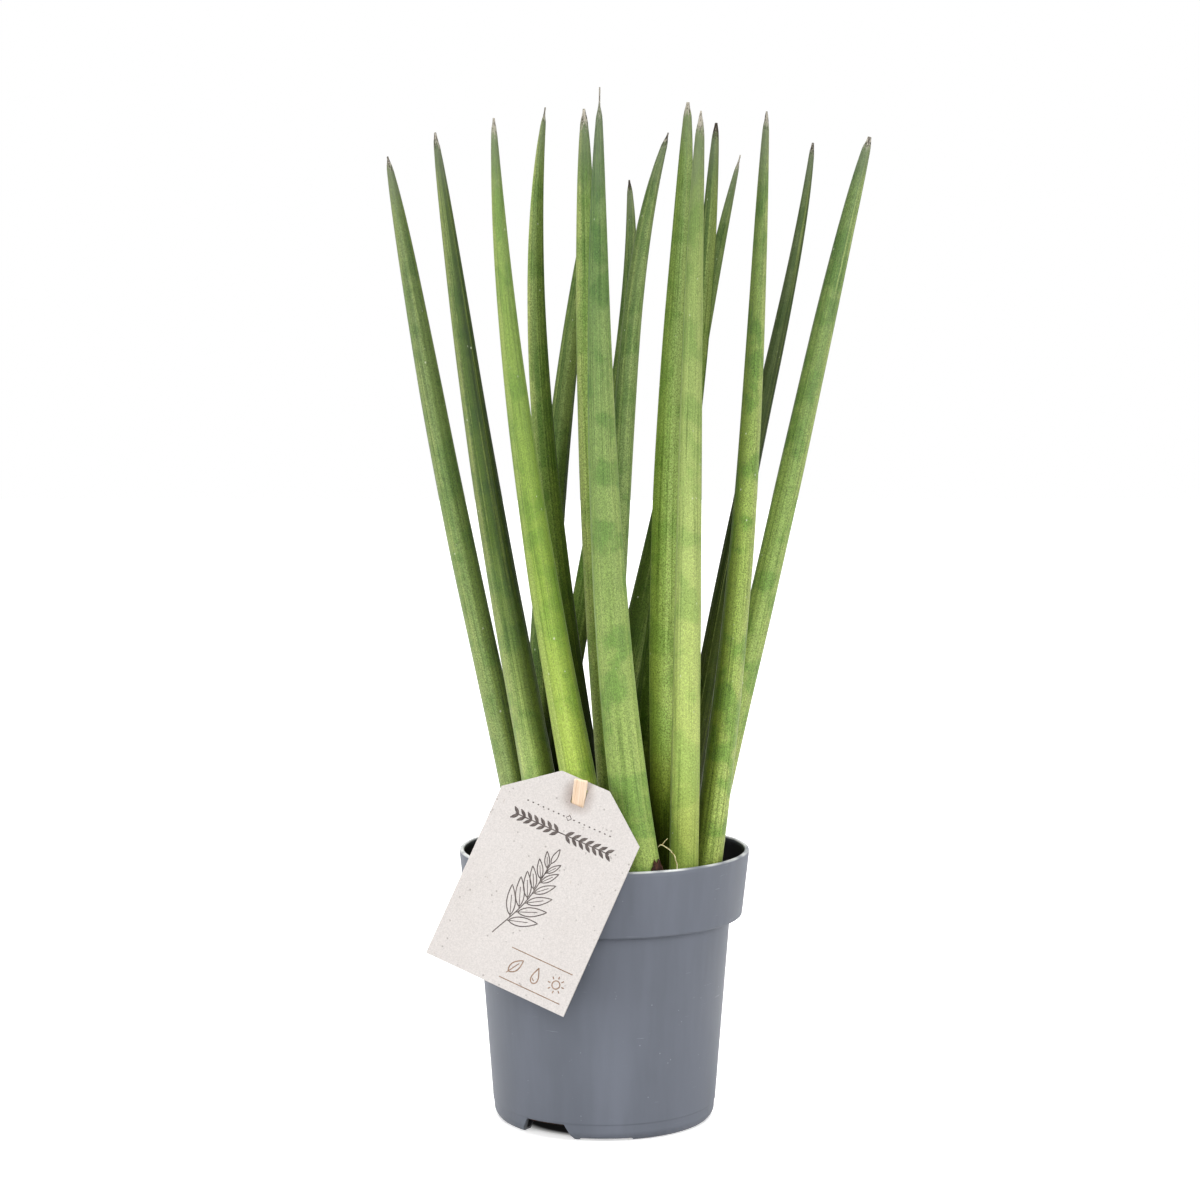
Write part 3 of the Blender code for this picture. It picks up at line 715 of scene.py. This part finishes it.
def potPlastic():
    plastic = Finish("potPlastic", {"Specular IOR Level": 0.38})
    place = plastic.place()
    x, y, z = plastic.axes(place)
    # flow marks of the moulding run up the wall
    flow = plastic.drawnOut(place, (38.0, 38.0, 5.0), 4.0, 0.6)
    cloud = plastic.noise(place, 26.0, 3.0)
    body = plastic.mixed(plastic.between(flow * 0.7 + cloud * 0.3, 0.35, 0.65),
                         colour(*potLook["shade"]), colour(*potLook["flowShade"]))
    # dust specks and short scratches
    dust = plastic.cells(place, 420.0)
    rare = plastic.noise(place, 95.0, 1.0)
    specks = plastic.between(dust, 0.14, 0.08) * plastic.between(rare, 0.60, 0.66)
    scratch = plastic.drawnOut(place, (70.0, 70.0, 900.0), 2.0, 0.5, 0.8)
    scratches = plastic.between(scratch, 0.70, 0.74) * plastic.between(rare, 0.52, 0.62)
    body = plastic.painted(specks * 0.7 + scratches * 0.35, body, potLook["dustShade"])
    within = plastic.node("ShaderNodeAttribute", {"attribute_name": "within"}, {}, "Fac")
    top = potHeight * mm
    # painted shade: the inside of the wall is darkened from just under the rim downwards
    paintedInsideShade = plastic.between(z + (cloud - 0.5) * 0.004, top - 0.001, top - 0.004) * within
    body = plastic.painted(paintedInsideShade * 0.9, body, potLook["insideShade"])
    # painted highlight: a pale line along the top of the rim, broken up by noise
    paintedRimHighlight = plastic.between(z, top - 0.0009, top - 0.0004) * plastic.between(rare * 0.5 + cloud * 0.5, 0.32, 0.56)
    body = plastic.painted(paintedRimHighlight * 0.85, body, potLook["rimHighlightShade"])
    peel = plastic.noise(place, 900.0, 2.0)
    low, high = potLook["roughness"]
    return plastic.coated(
        body, plastic.between(cloud * 0.6 + flow * 0.4, 0.35, 0.65, low, high) + specks * 0.2,
        plastic.bumped(peel * 0.5 + flow + scratches * 0.4, 0.04 * mm, 0.6))


addPiece("potShell", makePotMesh(), potPlastic(), ["pot"])
print("pot made")


# soil

soilShape = {
    "rings": 70,
    "steps": 220,
    "roughness": 1.1,  # mm
    "crumbs": 900,
    "crumbSize": (0.5, 2.4),  # mm
    "chips": 90,
    "chipSize": (2.5, 7.0),
    "mound": 1.9,  # how much lower it is at the wall than in the middle
    "sunk": 0.4,  # how far it stays under the CAD's top
    # its side under the top: (height where the CAD is measured, how much narrower than that, height)
    "lower": ((87.0, 0.0, 87.0), (86.2, 4.8, 85.0), (8.4, 0.0, 8.4), (5.5, 0.0, 5.5)),
    "shades": ((0.30, (20, 15, 12)), (0.50, (46, 33, 25)), (0.72, (84, 60, 44))),
    "barkShade": (104, 58, 38),
    "seed": 7,
}


def hills(x, y, seed):
    # smooth random heights from 0 to 1 for places in mm
    draw = np.random.default_rng(seed)
    total = np.zeros_like(x)
    weight = 0.0
    for size in (16.0, 9.0, 5.0, 3.0, 1.9):
        for _ in range(4):
            angle, phase = draw.uniform(0, 2 * pi, 2)
            total += size**0.7 * np.sin((x * cos(angle) + y * sin(angle)) * 2 * pi / size + phase)
            weight += size**0.7
    return total / weight * 2


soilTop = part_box("soil")[1].z / mm
soilWall = cadReach("soil", 98.0)


def soilHeight(x, y):
    # the top of the soil in mm, highest in the middle
    reach = np.hypot(x, y) / soilWall
    edge = softStep(1.0, 0.93, reach)
    rough = soilShape["roughness"] * (0.5 - 0.5 * hills(x, y, soilShape["seed"])) * edge
    return soilTop - soilShape["mound"] * reach**2 - rough - soilShape["sunk"]


def makeSoilMesh():
    rings, steps = soilShape["rings"], soilShape["steps"]
    reach = soilWall * (np.arange(1, rings + 1) / rings)[:, None]
    angle = np.linspace(0, 2 * pi, steps, endpoint=False)[None, :]
    x, y = reach * np.cos(angle), reach * np.sin(angle)
    z = soilHeight(x, y)
    rows = [np.stack([x, y, z], axis=-1).reshape(-1, 3)]
    for level, narrower, height in soilShape["lower"]:
        r = cadReach("soil", level) - narrower
        rows.append(np.column_stack([r * np.cos(angle[0]), r * np.sin(angle[0]), np.full(steps, height)]))
    ends = np.array([[0, 0, float(soilHeight(np.zeros(1), np.zeros(1))[0])], [0, 0, height]])
    return np.concatenate([*rows, ends]), barFaces(rings + len(soilShape["lower"]), steps, flipped=True)


def addLumps(points, faces):
    # crumbs of peat and flat chips of bark, half sunk in the soil
    draw = np.random.default_rng(soilShape["seed"] + 1)
    ball = bmesh.new()
    bmesh.ops.create_icosphere(ball, subdivisions=2, radius=1.0)
    ballPoints = np.array([v.co for v in ball.verts])
    ballFaces = [[v.index for v in f.verts] for f in ball.faces]
    ball.free()
    allPoints, allFaces = [points], list(faces)
    first = len(points)
    for i in range(soilShape["crumbs"] + soilShape["chips"]):
        chip = i >= soilShape["crumbs"]
        size = draw.uniform(*soilShape["chipSize" if chip else "crumbSize"])
        size = size * (0.5 if chip else draw.uniform(0.4, 0.5))
        reach, angle = (soilWall - 2 - size) * sqrt(draw.uniform(0, 1)), draw.uniform(0, 2 * pi)
        x, y = reach * cos(angle), reach * sin(angle)
        scale = (1.0, draw.uniform(0.35, 0.6), 0.16) if chip else draw.uniform(0.65, 1.0, 3)
        lump = ballPoints * (1 + draw.uniform(-0.22, 0.22, (len(ballPoints), 1))) * np.array(scale) * size
        turn = (Matrix.Rotation(draw.uniform(0, 2 * pi), 3, "Z") @ Matrix.Rotation(draw.normal(0, 0.35), 3, "X")
                @ Matrix.Rotation(draw.normal(0, 0.3), 3, "Y"))
        lump = lump @ np.array(turn).T
        z = float(soilHeight(np.array([x]), np.array([y]))[0]) + size * (0.12 if chip else 0.3)
        allPoints.append(lump + [x, y, z])
        allFaces += [[first + k for k in face] for face in ballFaces]
        first += len(lump)
    return np.concatenate(allPoints), allFaces


def soilFinish():
    earth = Finish("pottingSoil", {"Specular IOR Level": 0.25})
    place = earth.place()
    lump = earth.noise(place, 420.0, 4.0, 0.65)
    fine = earth.noise(place, 1900.0, 3.0, 0.7)
    bark = earth.noise(place, 130.0, 2.0)
    body = earth.ramp(lump, soilShape["shades"])
    body = earth.painted(earth.between(bark, 0.55, 0.68) * 0.6, body, soilShape["barkShade"])
    body = earth.tinted(body, 0.6 + fine * 0.8)
    return earth.coated(
        body, earth.between(lump, 0.3, 0.7, 0.82, 0.98),
        earth.bumped(lump + fine * 0.5, 0.5 * mm, 0.9))


soilPoints, soilFaces = addLumps(*makeSoilMesh())
addPiece("pottingSoil", meshOf("pottingSoil", soilPoints * mm, soilFaces), soilFinish(), ["soil"])
print("soil made")


# hang tag

tagShape = {
    "edge": 0.10,  # mm, the rounding of the card's edge
    "lineWidth": 0.46,
    "slotGap": 0.16,
    "inkHeight": 0.02,
    "shades": ((202, 196, 192), (210, 205, 202)),
    "fleckShade": (120, 112, 106),
    "fibreShade": (150, 128, 108),
    "stickShadowTint": (0.58, 0.51, 0.48),
    "darkInk": ((72, 64, 62), (106, 98, 94)),  # and where it is worn
    "warmInk": ((126, 98, 76), (156, 130, 110)),
}


def placed(mesh, axes):
    # a mesh drawn in mm in a node's own right, up and front, put where the node is
    middle, right, up, front = axes[:4]
    turn = Matrix((right, up, front)).transposed().to_4x4()
    mesh.transform(Matrix.Translation(middle) @ turn @ Matrix.Scale(mm, 4))
    return mesh


def flatOutline(name, outlines, thickness, edge):
    curve = bpy.data.curves.new(name, "CURVE")
    curve.dimensions = "2D"
    curve.fill_mode = "BOTH"
    curve.extrude = thickness / 2 - edge
    curve.bevel_depth = edge
    curve.bevel_resolution = 2
    curve.offset = -edge
    for outline in outlines:
        spline = curve.splines.new("POLY")
        spline.points.add(len(outline) - 1)
        for point, (x, y) in zip(spline.points, outline):
            point.co = (x, y, 0, 1)
        spline.use_cyclic_u = True
    mesh = applied(linked(name, curve))
    weld = bmesh.new()
    weld.from_mesh(mesh)
    bmesh.ops.remove_doubles(weld, verts=weld.verts, dist=0.001)
    bmesh.ops.recalc_face_normals(weld, faces=weld.faces)
    weld.to_mesh(mesh)
    weld.free()
    mesh.name = name
    return mesh


tagAxes = cadAxes("care_tag")
tagCorners = tagAxes[4] / mm
tagHalf = tagCorners[:, 0].max()
tagTop = tagCorners[:, 1].max()
tagThick = np.ptp(tagCorners[:, 2])
onSides = np.abs(np.abs(tagCorners[:, 0]) - tagHalf) < 0.1
tagShoulder = tagCorners[onSides, 1].max()
tagTopHalf = np.abs(tagCorners[np.abs(tagCorners[:, 1] - tagTop) < 0.1, 0]).max()
stickAxes = cadAxes("tag_stick")


def tagOutlines():
    outline = [(-tagHalf, tagShoulder), (-tagHalf, -tagTop), (tagHalf, -tagTop), (tagHalf, tagShoulder),
               (tagTopHalf, tagTop), (-tagTopHalf, tagTop)]
    # the slot hugs the stick where the stick goes through the card
    across, tall, deep = np.abs(stickAxes[4] / mm).max(axis=0)
    turn = np.array(tagAxes[1:4])
    right, up, front = (turn @ axis for axis in stickAxes[1:4])
    middle = turn @ (stickAxes[0] - tagAxes[0]) / mm
    through = []
    for t in np.linspace(-tall, tall, 801):
        for a, b in ((-1, -1), (-1, 1), (1, -1), (1, 1)):
            corner = middle + up * t + right * across * a + front * deep * b
            if abs(corner[2]) <= tagThick / 2 + 0.02:
                through.append(corner[:2])
    through = np.array(through)
    slant = up[0] / up[1]
    centre = (through.max(axis=0) + through.min(axis=0)) / 2
    across = np.abs(through[:, 0] - centre[0] - slant * (through[:, 1] - centre[1])).max() + tagShape["slotGap"]
    tall = np.abs(through[:, 1] - centre[1]).max() + tagShape["slotGap"] * 2
    centre = centre - np.array([slant, 1.0]) * tagShape["slotGap"]
    slot = []
    for side, (sx, sy) in enumerate(((1, 1), (-1, 1), (-1, -1), (1, -1))):
        for i in range(7):
            angle = pi / 2 * side + pi / 2 * i / 6
            x, y = sx * (across - 0.5) + 0.5 * cos(angle), sy * (tall - 0.5) + 0.5 * sin(angle)
            slot.append((centre[0] + x + slant * y, centre[1] + y))
    return [outline, slot], tagAxes[0] + (tagAxes[1] * centre[0] + tagAxes[2] * centre[1]) * mm


def tagCard(slotPlace):
    card = Finish("tagCard", {"Specular IOR Level": 0.25})
    place = card.place()
    cloud = card.noise(place, 60.0, 3.0)
    pulp = card.noise(place, 1500.0, 4.0, 0.8)
    body = card.mixed(cloud, *[colour(*shade) for shade in tagShape["shades"]])
    body = card.tinted(body, 0.84 + card.between(pulp, 0.3, 0.7) * 0.22)
    # grey and brown flecks of the recycled pulp, and short fibres
    fleck = card.cells(card.moved(place, (0.3, 0.1, 0.2)), 520.0)
    rare = card.noise(place, 300.0, 1.0)
    flecks = card.between(fleck, 0.30, 0.12) * card.between(rare, 0.58, 0.66)
    fine = card.between(card.cells(place, 1300.0), 0.22, 0.08)
    fine = fine * card.between(card.noise(place, 700.0, 1.0), 0.55, 0.62)
    fibre = card.drawnOut(place, (900.0, 240.0, 500.0), 2.0, 0.5, 1.4)
    fibres = card.between(fibre, 0.715, 0.75)
    body = card.painted(flecks * 0.55 + fine * 0.3, body, tagShape["fleckShade"])
    # the stick's shadow is painted on the card round its slot
    away = card.node("ShaderNodeVectorMath", {"operation": "DISTANCE"}, {0: place, 1: tuple(slotPlace)}, "Value")
    paintedStickShadow = card.between(away + (cloud - 0.5) * 0.006, 0.0090, 0.0028)
    body = card.dyed(paintedStickShadow * 0.8, body, tagShape["stickShadowTint"])
    body = card.painted(fibres * 0.35, body, tagShape["fibreShade"])
    return card.coated(
        body, card.between(pulp, 0.3, 0.7, 0.78, 0.92),
        card.bumped(pulp * 0.7 + cloud * 0.3 - fibres * 0.3, 0.05 * mm, 0.6))


outlines, slotPlace = tagOutlines()
cardMesh = placed(flatOutline("tagCard", outlines, tagThick, tagShape["edge"]), tagAxes)
addPiece("tagCard", cardMesh, tagCard(slotPlace), ["care_tag"])


def curveThrough(points, count):
    # a smooth line through a few points
    knots = np.array(points, float)
    places = lengthsAlong(knots)
    return smoothThrough(places, knots, np.linspace(0, places[-1], count))


def leafLine(foot, tip, width, count=22):
    # the outline of a pointed leaf from its foot to its tip
    foot, tip = np.array(foot, float), np.array(tip, float)
    way = tip - foot
    side = np.array([-way[1], way[0]]) / np.linalg.norm(way)
    t = np.linspace(0, 1, count)
    bulge = width / 2 * np.sin(pi * t**0.8) ** 0.9
    upper = foot + way * t[:, None] + side * bulge[:, None]
    lower = foot + way * t[::-1, None] - side * bulge[::-1, None]
    return np.concatenate([upper, lower[1:]])


def sprig(strokes, foot, tip, bend, pairs, width):
    # a stem with pairs of outlined leaves, each with its middle rib
    foot, tip = np.array(foot, float), np.array(tip, float)
    middle = (foot + tip) / 2 + np.array([bend, 0])
    stem = curveThrough([foot, middle, tip], 60)
    strokes.append((stem, width))
    for i in range(pairs):
        share = 0.24 + 0.66 * i / (pairs - 1)
        for side in (-1, 1):
            place = int((share + side * 0.022) * 59)
            at = stem[place]
            ahead = (stem[place + 1] - at) / np.linalg.norm(stem[place + 1] - at)
            size = 12.0 - 5.5 * max(share - 0.35, 0) / 0.55
            angle = side * radians(52 - 22 * share)
            way = np.array([ahead[0] * cos(angle) - ahead[1] * sin(angle),
                            ahead[0] * sin(angle) + ahead[1] * cos(angle)])
            start = at + way * 0.9
            end = at + way * (size + 0.9)
            strokes.append((np.array([at, start]), width))
            strokes.append((leafLine(start, end, size * 0.30), width))
            strokes.append((np.array([start, start + (end - start) * 0.66]), width * 0.7))
    way = (stem[-1] - stem[-3]) / np.linalg.norm(stem[-1] - stem[-3])
    strokes.append((leafLine(stem[-1], stem[-1] + way * 6.5, 2.0), width))


def drawnCircle(middle, radius, count=40):
    angle = np.linspace(0, 2 * pi, count)
    return np.column_stack([middle[0] + radius * np.cos(angle), middle[1] + radius * np.sin(angle)])


def garland(strokes, half, level, size, line):
    # solid leaves in pairs on a stem, leaning outwards from the middle
    strokes.append((np.array([[-half, level], [half, level]]), line))
    t = np.linspace(0, 1, 9)[:, None]
    count = 7
    for i in range(count):
        for lean in (-1, 1):
            x = lean * (1.6 + (half - 3.2) * i / (count - 1))
            for side in (-1, 1):
                foot = np.array([x, level])
                tip = foot + np.array([size * 0.62 * lean, side * size * 0.5])
                strokes.append((foot + (tip - foot) * t, 1.4 * np.sin(pi * np.clip(t[:, 0], 0.05, 0.95)) ** 0.8))


def darkArt():
    strokes = []
    line = tagShape["lineWidth"]
    # a row of dots with a small diamond, and a garland under it
    row = tagShoulder - 0.9
    for i in range(-8, 9):
        if i:
            strokes.append((np.array([[i * 2.3 - 0.35, row], [i * 2.3 + 0.35, row]]), line * 1.1))
    diamond = np.array([[0, 1.1], [1.1, 0], [0, -1.1], [-1.1, 0], [0, 1.1]]) + (0, row)
    strokes.append((diamond, line * 0.8))
    garland(strokes, 21.0, tagShoulder - 7.6, 4.8, line)
    sprig(strokes, (-9.5, -25.5), (1.0, tagShoulder - 20.0), 2.4, 6, line * 0.95)
    return strokes


def warmArt():
    strokes = []
    line = tagShape["lineWidth"] * 1.05
    level = -tagTop + 10.0
    # sun, drop and leaf between two rules
    sun, water, leaf = (np.array([x, level]) for x in (23.0, 14.0, 5.0))
    strokes.append((drawnCircle(sun, 1.6, 24), line))
    for i in range(8):
        way = np.array([cos(pi * i / 4), sin(pi * i / 4)])
        strokes.append((np.array([sun + way * 2.4, sun + way * 3.5]), line))
    t = np.linspace(0, 2 * pi, 40)
    strokes.append((water + np.column_stack([2.1 * np.sin(t) * np.sin(t / 2) ** 1.5, 3.2 * np.cos(t)]), line))
    strokes.append((curveThrough([water + (-0.9, -1.3), water + (-0.5, -1.9), water + (0.2, -2.1)], 8), line * 0.8))
    strokes.append((leafLine(leaf + (-2.0, -2.8), leaf + (2.0, 3.2), 3.4), line))
    strokes.append((np.array([leaf + (-2.6, -3.7), leaf + (0.9, 1.6)]), line * 0.8))
    for rule in (level - 6.2, level + 6.2):
        strokes.append((np.array([[0.5, rule], [27.5, rule]]), line * 0.8))
    return strokes


def inkMesh(name, strokes, front):
    # every stroke as a thin flat bar, lying on the card's front
    curve = bpy.data.curves.new(name, "CURVE")
    curve.dimensions = "3D"
    curve.bevel_depth = 1.0
    curve.bevel_resolution = 1
    curve.use_fill_caps = True
    for points, width in strokes:
        spline = curve.splines.new("POLY")
        spline.points.add(len(points) - 1)
        widths = np.broadcast_to(width, len(points))
        for point, (x, y), w in zip(spline.points, points, widths):
            point.co = (x, y, 0, 1)
            point.radius = w / 2
    mesh = applied(linked(name, curve))
    for corner in mesh.vertices:
        corner.co.z = front + max(-1, min(1, corner.co.z / 0.08)) * tagShape["inkHeight"]
    mesh.name = name
    return mesh


def inkFinish(name, shade, worn):
    ink = Finish(name, {"Specular IOR Level": 0.3})
    place = ink.place()
    pulp = ink.noise(place, 1500.0, 3.0, 0.7)
    patch = ink.noise(place, 260.0, 2.0)
    body = ink.mixed(ink.between(pulp * 0.6 + patch * 0.4, 0.40, 0.62), colour(*shade), colour(*worn))
    return ink.coated(
        body, ink.between(pulp, 0.3, 0.7, 0.6, 0.8),
        ink.bumped(pulp, 0.03 * mm, 0.5))


for name, strokes, ink in (("tagArtDark", darkArt(), "darkInk"), ("tagArtWarm", warmArt(), "warmInk")):
    artMesh = placed(inkMesh(name, strokes, tagThick / 2), tagAxes)
    addPiece(name, artMesh, inkFinish(ink, *tagShape[ink]))
print("tag made")


# stick

stickShape = {
    "corner": 0.35,  # mm
    "rows": 160,
    "grain": 0.05,
    "seed": 3,
    "shades": ((0.32, (230, 194, 158)), (0.52, (246, 221, 194)), (0.72, (250, 231, 211))),
    "poreShade": (176, 126, 84),
}


def makeStickMesh(axes):
    # a flat stick with rounded corners, fine ridges of grain and slightly worn ends
    across, tall, deep = np.abs(axes[4] / mm).max(axis=0)
    r = stickShape["corner"]
    outline = []
    for side, (sx, sz) in enumerate(((1, 1), (-1, 1), (-1, -1), (1, -1))):
        for i in range(5):
            angle = pi / 2 * side + pi / 2 * i / 4
            outline.append((sx * (across - r) + r * cos(angle), sz * (deep - r) + r * sin(angle)))
        nextCorner = ((-1, 1), (-1, -1), (1, -1), (1, 1))[side]
        start = np.array(outline[-1])
        angle = pi / 2 * (side + 1)
        end = np.array([nextCorner[0] * (across - r) + r * cos(angle), nextCorner[1] * (deep - r) + r * sin(angle)])
        steps = 24 if side in (0, 2) else 4
        for i in range(1, steps):
            outline.append(tuple(start + (end - start) * i / steps))
    outline = np.array(outline)
    draw = np.random.default_rng(stickShape["seed"])
    phases = draw.uniform(0, 6, (6, 2))
    rows = stickShape["rows"]
    between = np.linspace(-tall + 0.4, tall - 0.4, rows)
    heights = np.concatenate([[-tall, -tall + 0.15], between, [tall - 0.15, tall]])
    rings = []
    for height in heights:
        end = min(tall - abs(height), 0.4) / 0.4
        inset = 0.30 * (1 - sqrt(max(0, 1 - (1 - end) ** 2)))
        ridge = sum(np.sin(outline[:, 0] * (5 + 3 * k) + phases[k, 0]
                           + 0.25 * sin(height * 0.11 * (k + 1) + phases[k, 1])) for k in range(6)) / 6
        scale = np.array([1 - inset / across, 1 - inset / deep])
        flat = outline * scale
        flat[:, 1] -= np.sign(flat[:, 1]) * stickShape["grain"] * (0.5 + 0.5 * ridge)
        rings.append(np.column_stack([flat[:, 0], np.full(len(flat), height), flat[:, 1]]))
    points = np.concatenate([*rings, [[0, -tall, 0], [0, tall, 0]]])
    mesh = meshOf("stickWood", points, barFaces(len(rings), len(outline), flipped=True), 50)
    stamp(mesh, "alongGrain", points)
    return mesh


def stickWood():
    wood = Finish("stickWood", {"Specular IOR Level": 0.3})
    place = wood.attribute("alongGrain")
    grain = wood.drawnOut(place, (2.6, 0.05, 2.6), 4.0, 0.6, 0.3)
    fine = wood.drawnOut(place, (11.0, 0.35, 11.0), 3.0, 0.6)
    body = wood.ramp(grain, stickShape["shades"])
    pores = wood.between(fine, 0.38, 0.28)
    body = wood.painted(pores * 0.4, body, stickShape["poreShade"])
    return wood.coated(
        body, wood.between(fine, 0.3, 0.7, 0.55, 0.72),
        wood.bumped(grain + fine * 0.6 - pores * 0.5, 0.08 * mm, 0.7))


addPiece("stickWood", placed(makeStickMesh(stickAxes), stickAxes), stickWood(), ["tag_stick"])
print("stick made")


# dry sheath and root fibre

sheathLook = {
    "shades": ((0.35, (26, 14, 10)), (0.5, (60, 32, 24)), (0.68, (112, 78, 56))),
}


def makeSheathMesh():
    # the CAD scale, made finer, crinkled and frayed along its edge
    shape = bmesh.new()
    shape.from_mesh(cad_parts["dry_sheath"].data)
    bmesh.ops.remove_doubles(shape, verts=shape.verts, dist=0.01 * mm)
    bmesh.ops.subdivide_edges(shape, edges=shape.edges, cuts=3, use_grid_fill=True)
    low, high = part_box("dry_sheath")
    outward = Vector((0.82, -0.57, 0))
    for corner in shape.verts:
        rise = (corner.co.z - low.z) / (high.z - low.z)
        x, y, z = corner.co / mm
        crinkle = 0.16 * sin(x * 5.3 + z * 0.9) + 0.12 * sin(y * 6.1 - z * 1.7) + 0.08 * sin(z * 4.3)
        corner.co += outward * crinkle * mm * (0.3 + 0.7 * rise)
        corner.co.z -= 0.5 * mm * rise * (0.5 + 0.5 * sin(x * 9 + y * 7))
        # the point has broken off
        corner.co.z -= max(rise - 0.70, 0) * (high.z - low.z) * (0.45 + 0.25 * sin(x * 3.1))
    bmesh.ops.recalc_face_normals(shape, faces=shape.faces)
    mesh = written(shape, "drySheath")
    mesh.shade_smooth()
    return mesh


def huskFinish():
    husk = Finish("dryHusk", {"Specular IOR Level": 0.3})
    place = husk.place()
    veins = husk.drawnOut(place, (1500.0, 1500.0, 130.0), 3.0, 0.6)
    patch = husk.noise(place, 240.0, 3.0)
    body = husk.ramp(veins * 0.6 + patch * 0.4, sheathLook["shades"])
    return husk.coated(
        body, husk.between(veins, 0.3, 0.7, 0.62, 0.85),
        husk.bumped(veins, 0.15 * mm, 0.8))


addPiece("drySheath", makeSheathMesh(), huskFinish(), ["dry_sheath"])

fibreLook = {
    "cadSides": 6,
    "points": 70,
    "branchFrom": 0.02,  # share of the fibre's length
    "branch": ((0.0, 0.0, 0.0), (1.0, 0.2, 1.4), (2.2, 0.3, 2.6)),  # mm from there
    "stub": ((0.0, 0.0, 0.0), (-0.9, 0.1, -0.1), (-1.5, 0.1, -0.8)),
    "shades": ((0.35, (176, 150, 98)), (0.52, (216, 208, 158)), (0.7, (236, 230, 190))),
}


def bar(line, radii, sides=10):
    # a round bar along a line of points
    tangents = units(np.gradient(line, axis=0))
    first = units(np.cross(tangents, (0.0, 1.0, 0.0)))
    second = np.cross(tangents, first)
    angle = np.linspace(0, 2 * pi, sides, endpoint=False)[None, :, None]
    around = first[:, None] * np.cos(angle) + second[:, None] * np.sin(angle)
    rings = line[:, None] + around * np.reshape(radii, (-1, 1, 1))
    return np.concatenate([rings.reshape(-1, 3), line[:1], line[-1:]]), barFaces(len(line), sides)


def makeFibreMesh():
    middles, radii = cadRings("root_fibre", fibreLook["cadSides"])
    middles = middles[::-1]
    places = lengthsAlong(middles)
    count = fibreLook["points"]
    wanted = np.linspace(0, places[-1], count)
    line = smoothThrough(places, middles, wanted)
    line[:, 0] += 0.10 * mm * np.sin(wanted * 1900)
    thick = radii.mean() * (0.58 + 0.22 * np.linspace(0, 1, count)) * (1 + 0.12 * np.sin(wanted * 2600))
    parts = [bar(line, thick)]
    start = line[int(fibreLook["branchFrom"] * count)]
    for way, ends in ((fibreLook["branch"], (0.20, 0.10)), (fibreLook["stub"], (0.24, 0.12))):
        thread = start + curveThrough(way, 14) * mm
        parts.append(bar(thread, np.linspace(*ends, 14) * mm))
    points, faces = [], []
    for partPoints, partFaces in parts:
        shift = sum(len(p) for p in points)
        points.append(partPoints)
        faces += [tuple(shift + k for k in face) for face in partFaces]
    return meshOf("rootFibre", np.concatenate(points), faces)


def fibreFinish():
    root = Finish("rootFibre", {"Specular IOR Level": 0.35})
    place = root.place()
    patch = root.noise(place, 900.0, 3.0)
    body = root.ramp(patch, fibreLook["shades"])
    return root.coated(
        body, root.between(patch, 0.3, 0.7, 0.6, 0.8),
        root.bumped(patch, 0.1 * mm, 0.7))


addPiece("rootFibre", makeFibreMesh(), fibreFinish(), ["root_fibre"])
print("sheath and fibre made")


# floor and lights

studio = {
    "floorSize": 12.0,
    "floorShade": (250, 250, 250),
    "floorGlow": 0.5,
    "ambient": 0.08,
    "skySun": 3.0,
    "skySunAngle": 55.0,
    "boxes": {  # name: (place, the point that it faces, size, power)
        "leftBox": ((-1.35, -0.90, 0.55), (0, 0, 0.22), (0.9, 1.3), 20.0),
        "rightBox": ((1.35, -0.90, 0.55), (0, 0, 0.22), (0.9, 1.3), 17.0),
        "frontBox": ((0.1, -2.3, 0.75), (0, 0, 0.20), (1.2, 1.0), 24.0),
        "backBox": ((0.0, 1.9, 1.1), (0, 0, 0.20), (1.6, 1.0), 12.0),
    },
}

floorMesh = bpy.data.meshes.new("studioFloor")
half = studio["floorSize"] / 2
floorMesh.from_pydata([(-half, -half, 0), (half, -half, 0), (half, half, 0), (-half, half, 0)], [], [(0, 1, 2, 3)])
floor = linked("studioFloor", floorMesh)
floor.location.z = -0.1 * mm
paper = Finish("studioFloor", {
    "Roughness": 0.9, "Specular IOR Level": 0.0, "Emission Strength": studio["floorGlow"]})
paperX, paperY, _ = paper.axes(paper.place())
# painted shadow: the floor's colour and glow go dark under the pot
outward = paper.between((paperX * paperX + paperY * paperY) ** 0.5, 0.034, 0.0415)
paperWithShadow = paper.mixed(outward, (0.01, 0.01, 0.01, 1.0), colour(*studio["floorShade"]))  # painted shadow, dark under the pot
paper.put({"Base Color": paperWithShadow, "Emission Color": paperWithShadow})
floorMesh.materials.append(paper.material)
floor.visible_diffuse = False  # the floor throws no light back, so the leaves keep their dark sides


def softBox(name, place, target, size, power):
    light = bpy.data.lights.new(name, "AREA")
    light.shape = "RECTANGLE"
    light.size, light.size_y = size
    light.energy = power
    box = linked(name, light)
    box.location = place
    box.rotation_euler = (Vector(target) - Vector(place)).to_track_quat("-Z", "Y").to_euler()
    box.visible_camera = False


for name, settings in studio["boxes"].items():
    softBox(name, *settings)

sun = bpy.data.lights.new("skySun", "SUN")
sun.energy = studio["skySun"]
sun.angle = radians(studio["skySunAngle"])
linked("skySun", sun)

world = bpy.data.worlds.new("studioWorld")
world.use_nodes = True
scene.world = world
sky = world.node_tree
background = sky.nodes["Background"]
background.inputs["Color"].default_value = (1, 1, 1, 1)
seen = sky.nodes.new("ShaderNodeLightPath")
level = sky.nodes.new("ShaderNodeMapRange")
level.inputs["To Min"].default_value = studio["ambient"]
level.inputs["To Max"].default_value = 1.0
sky.links.new(seen.outputs["Is Camera Ray"], level.inputs["Value"])
sky.links.new(level.outputs[0], background.inputs["Strength"])
print("studio made")
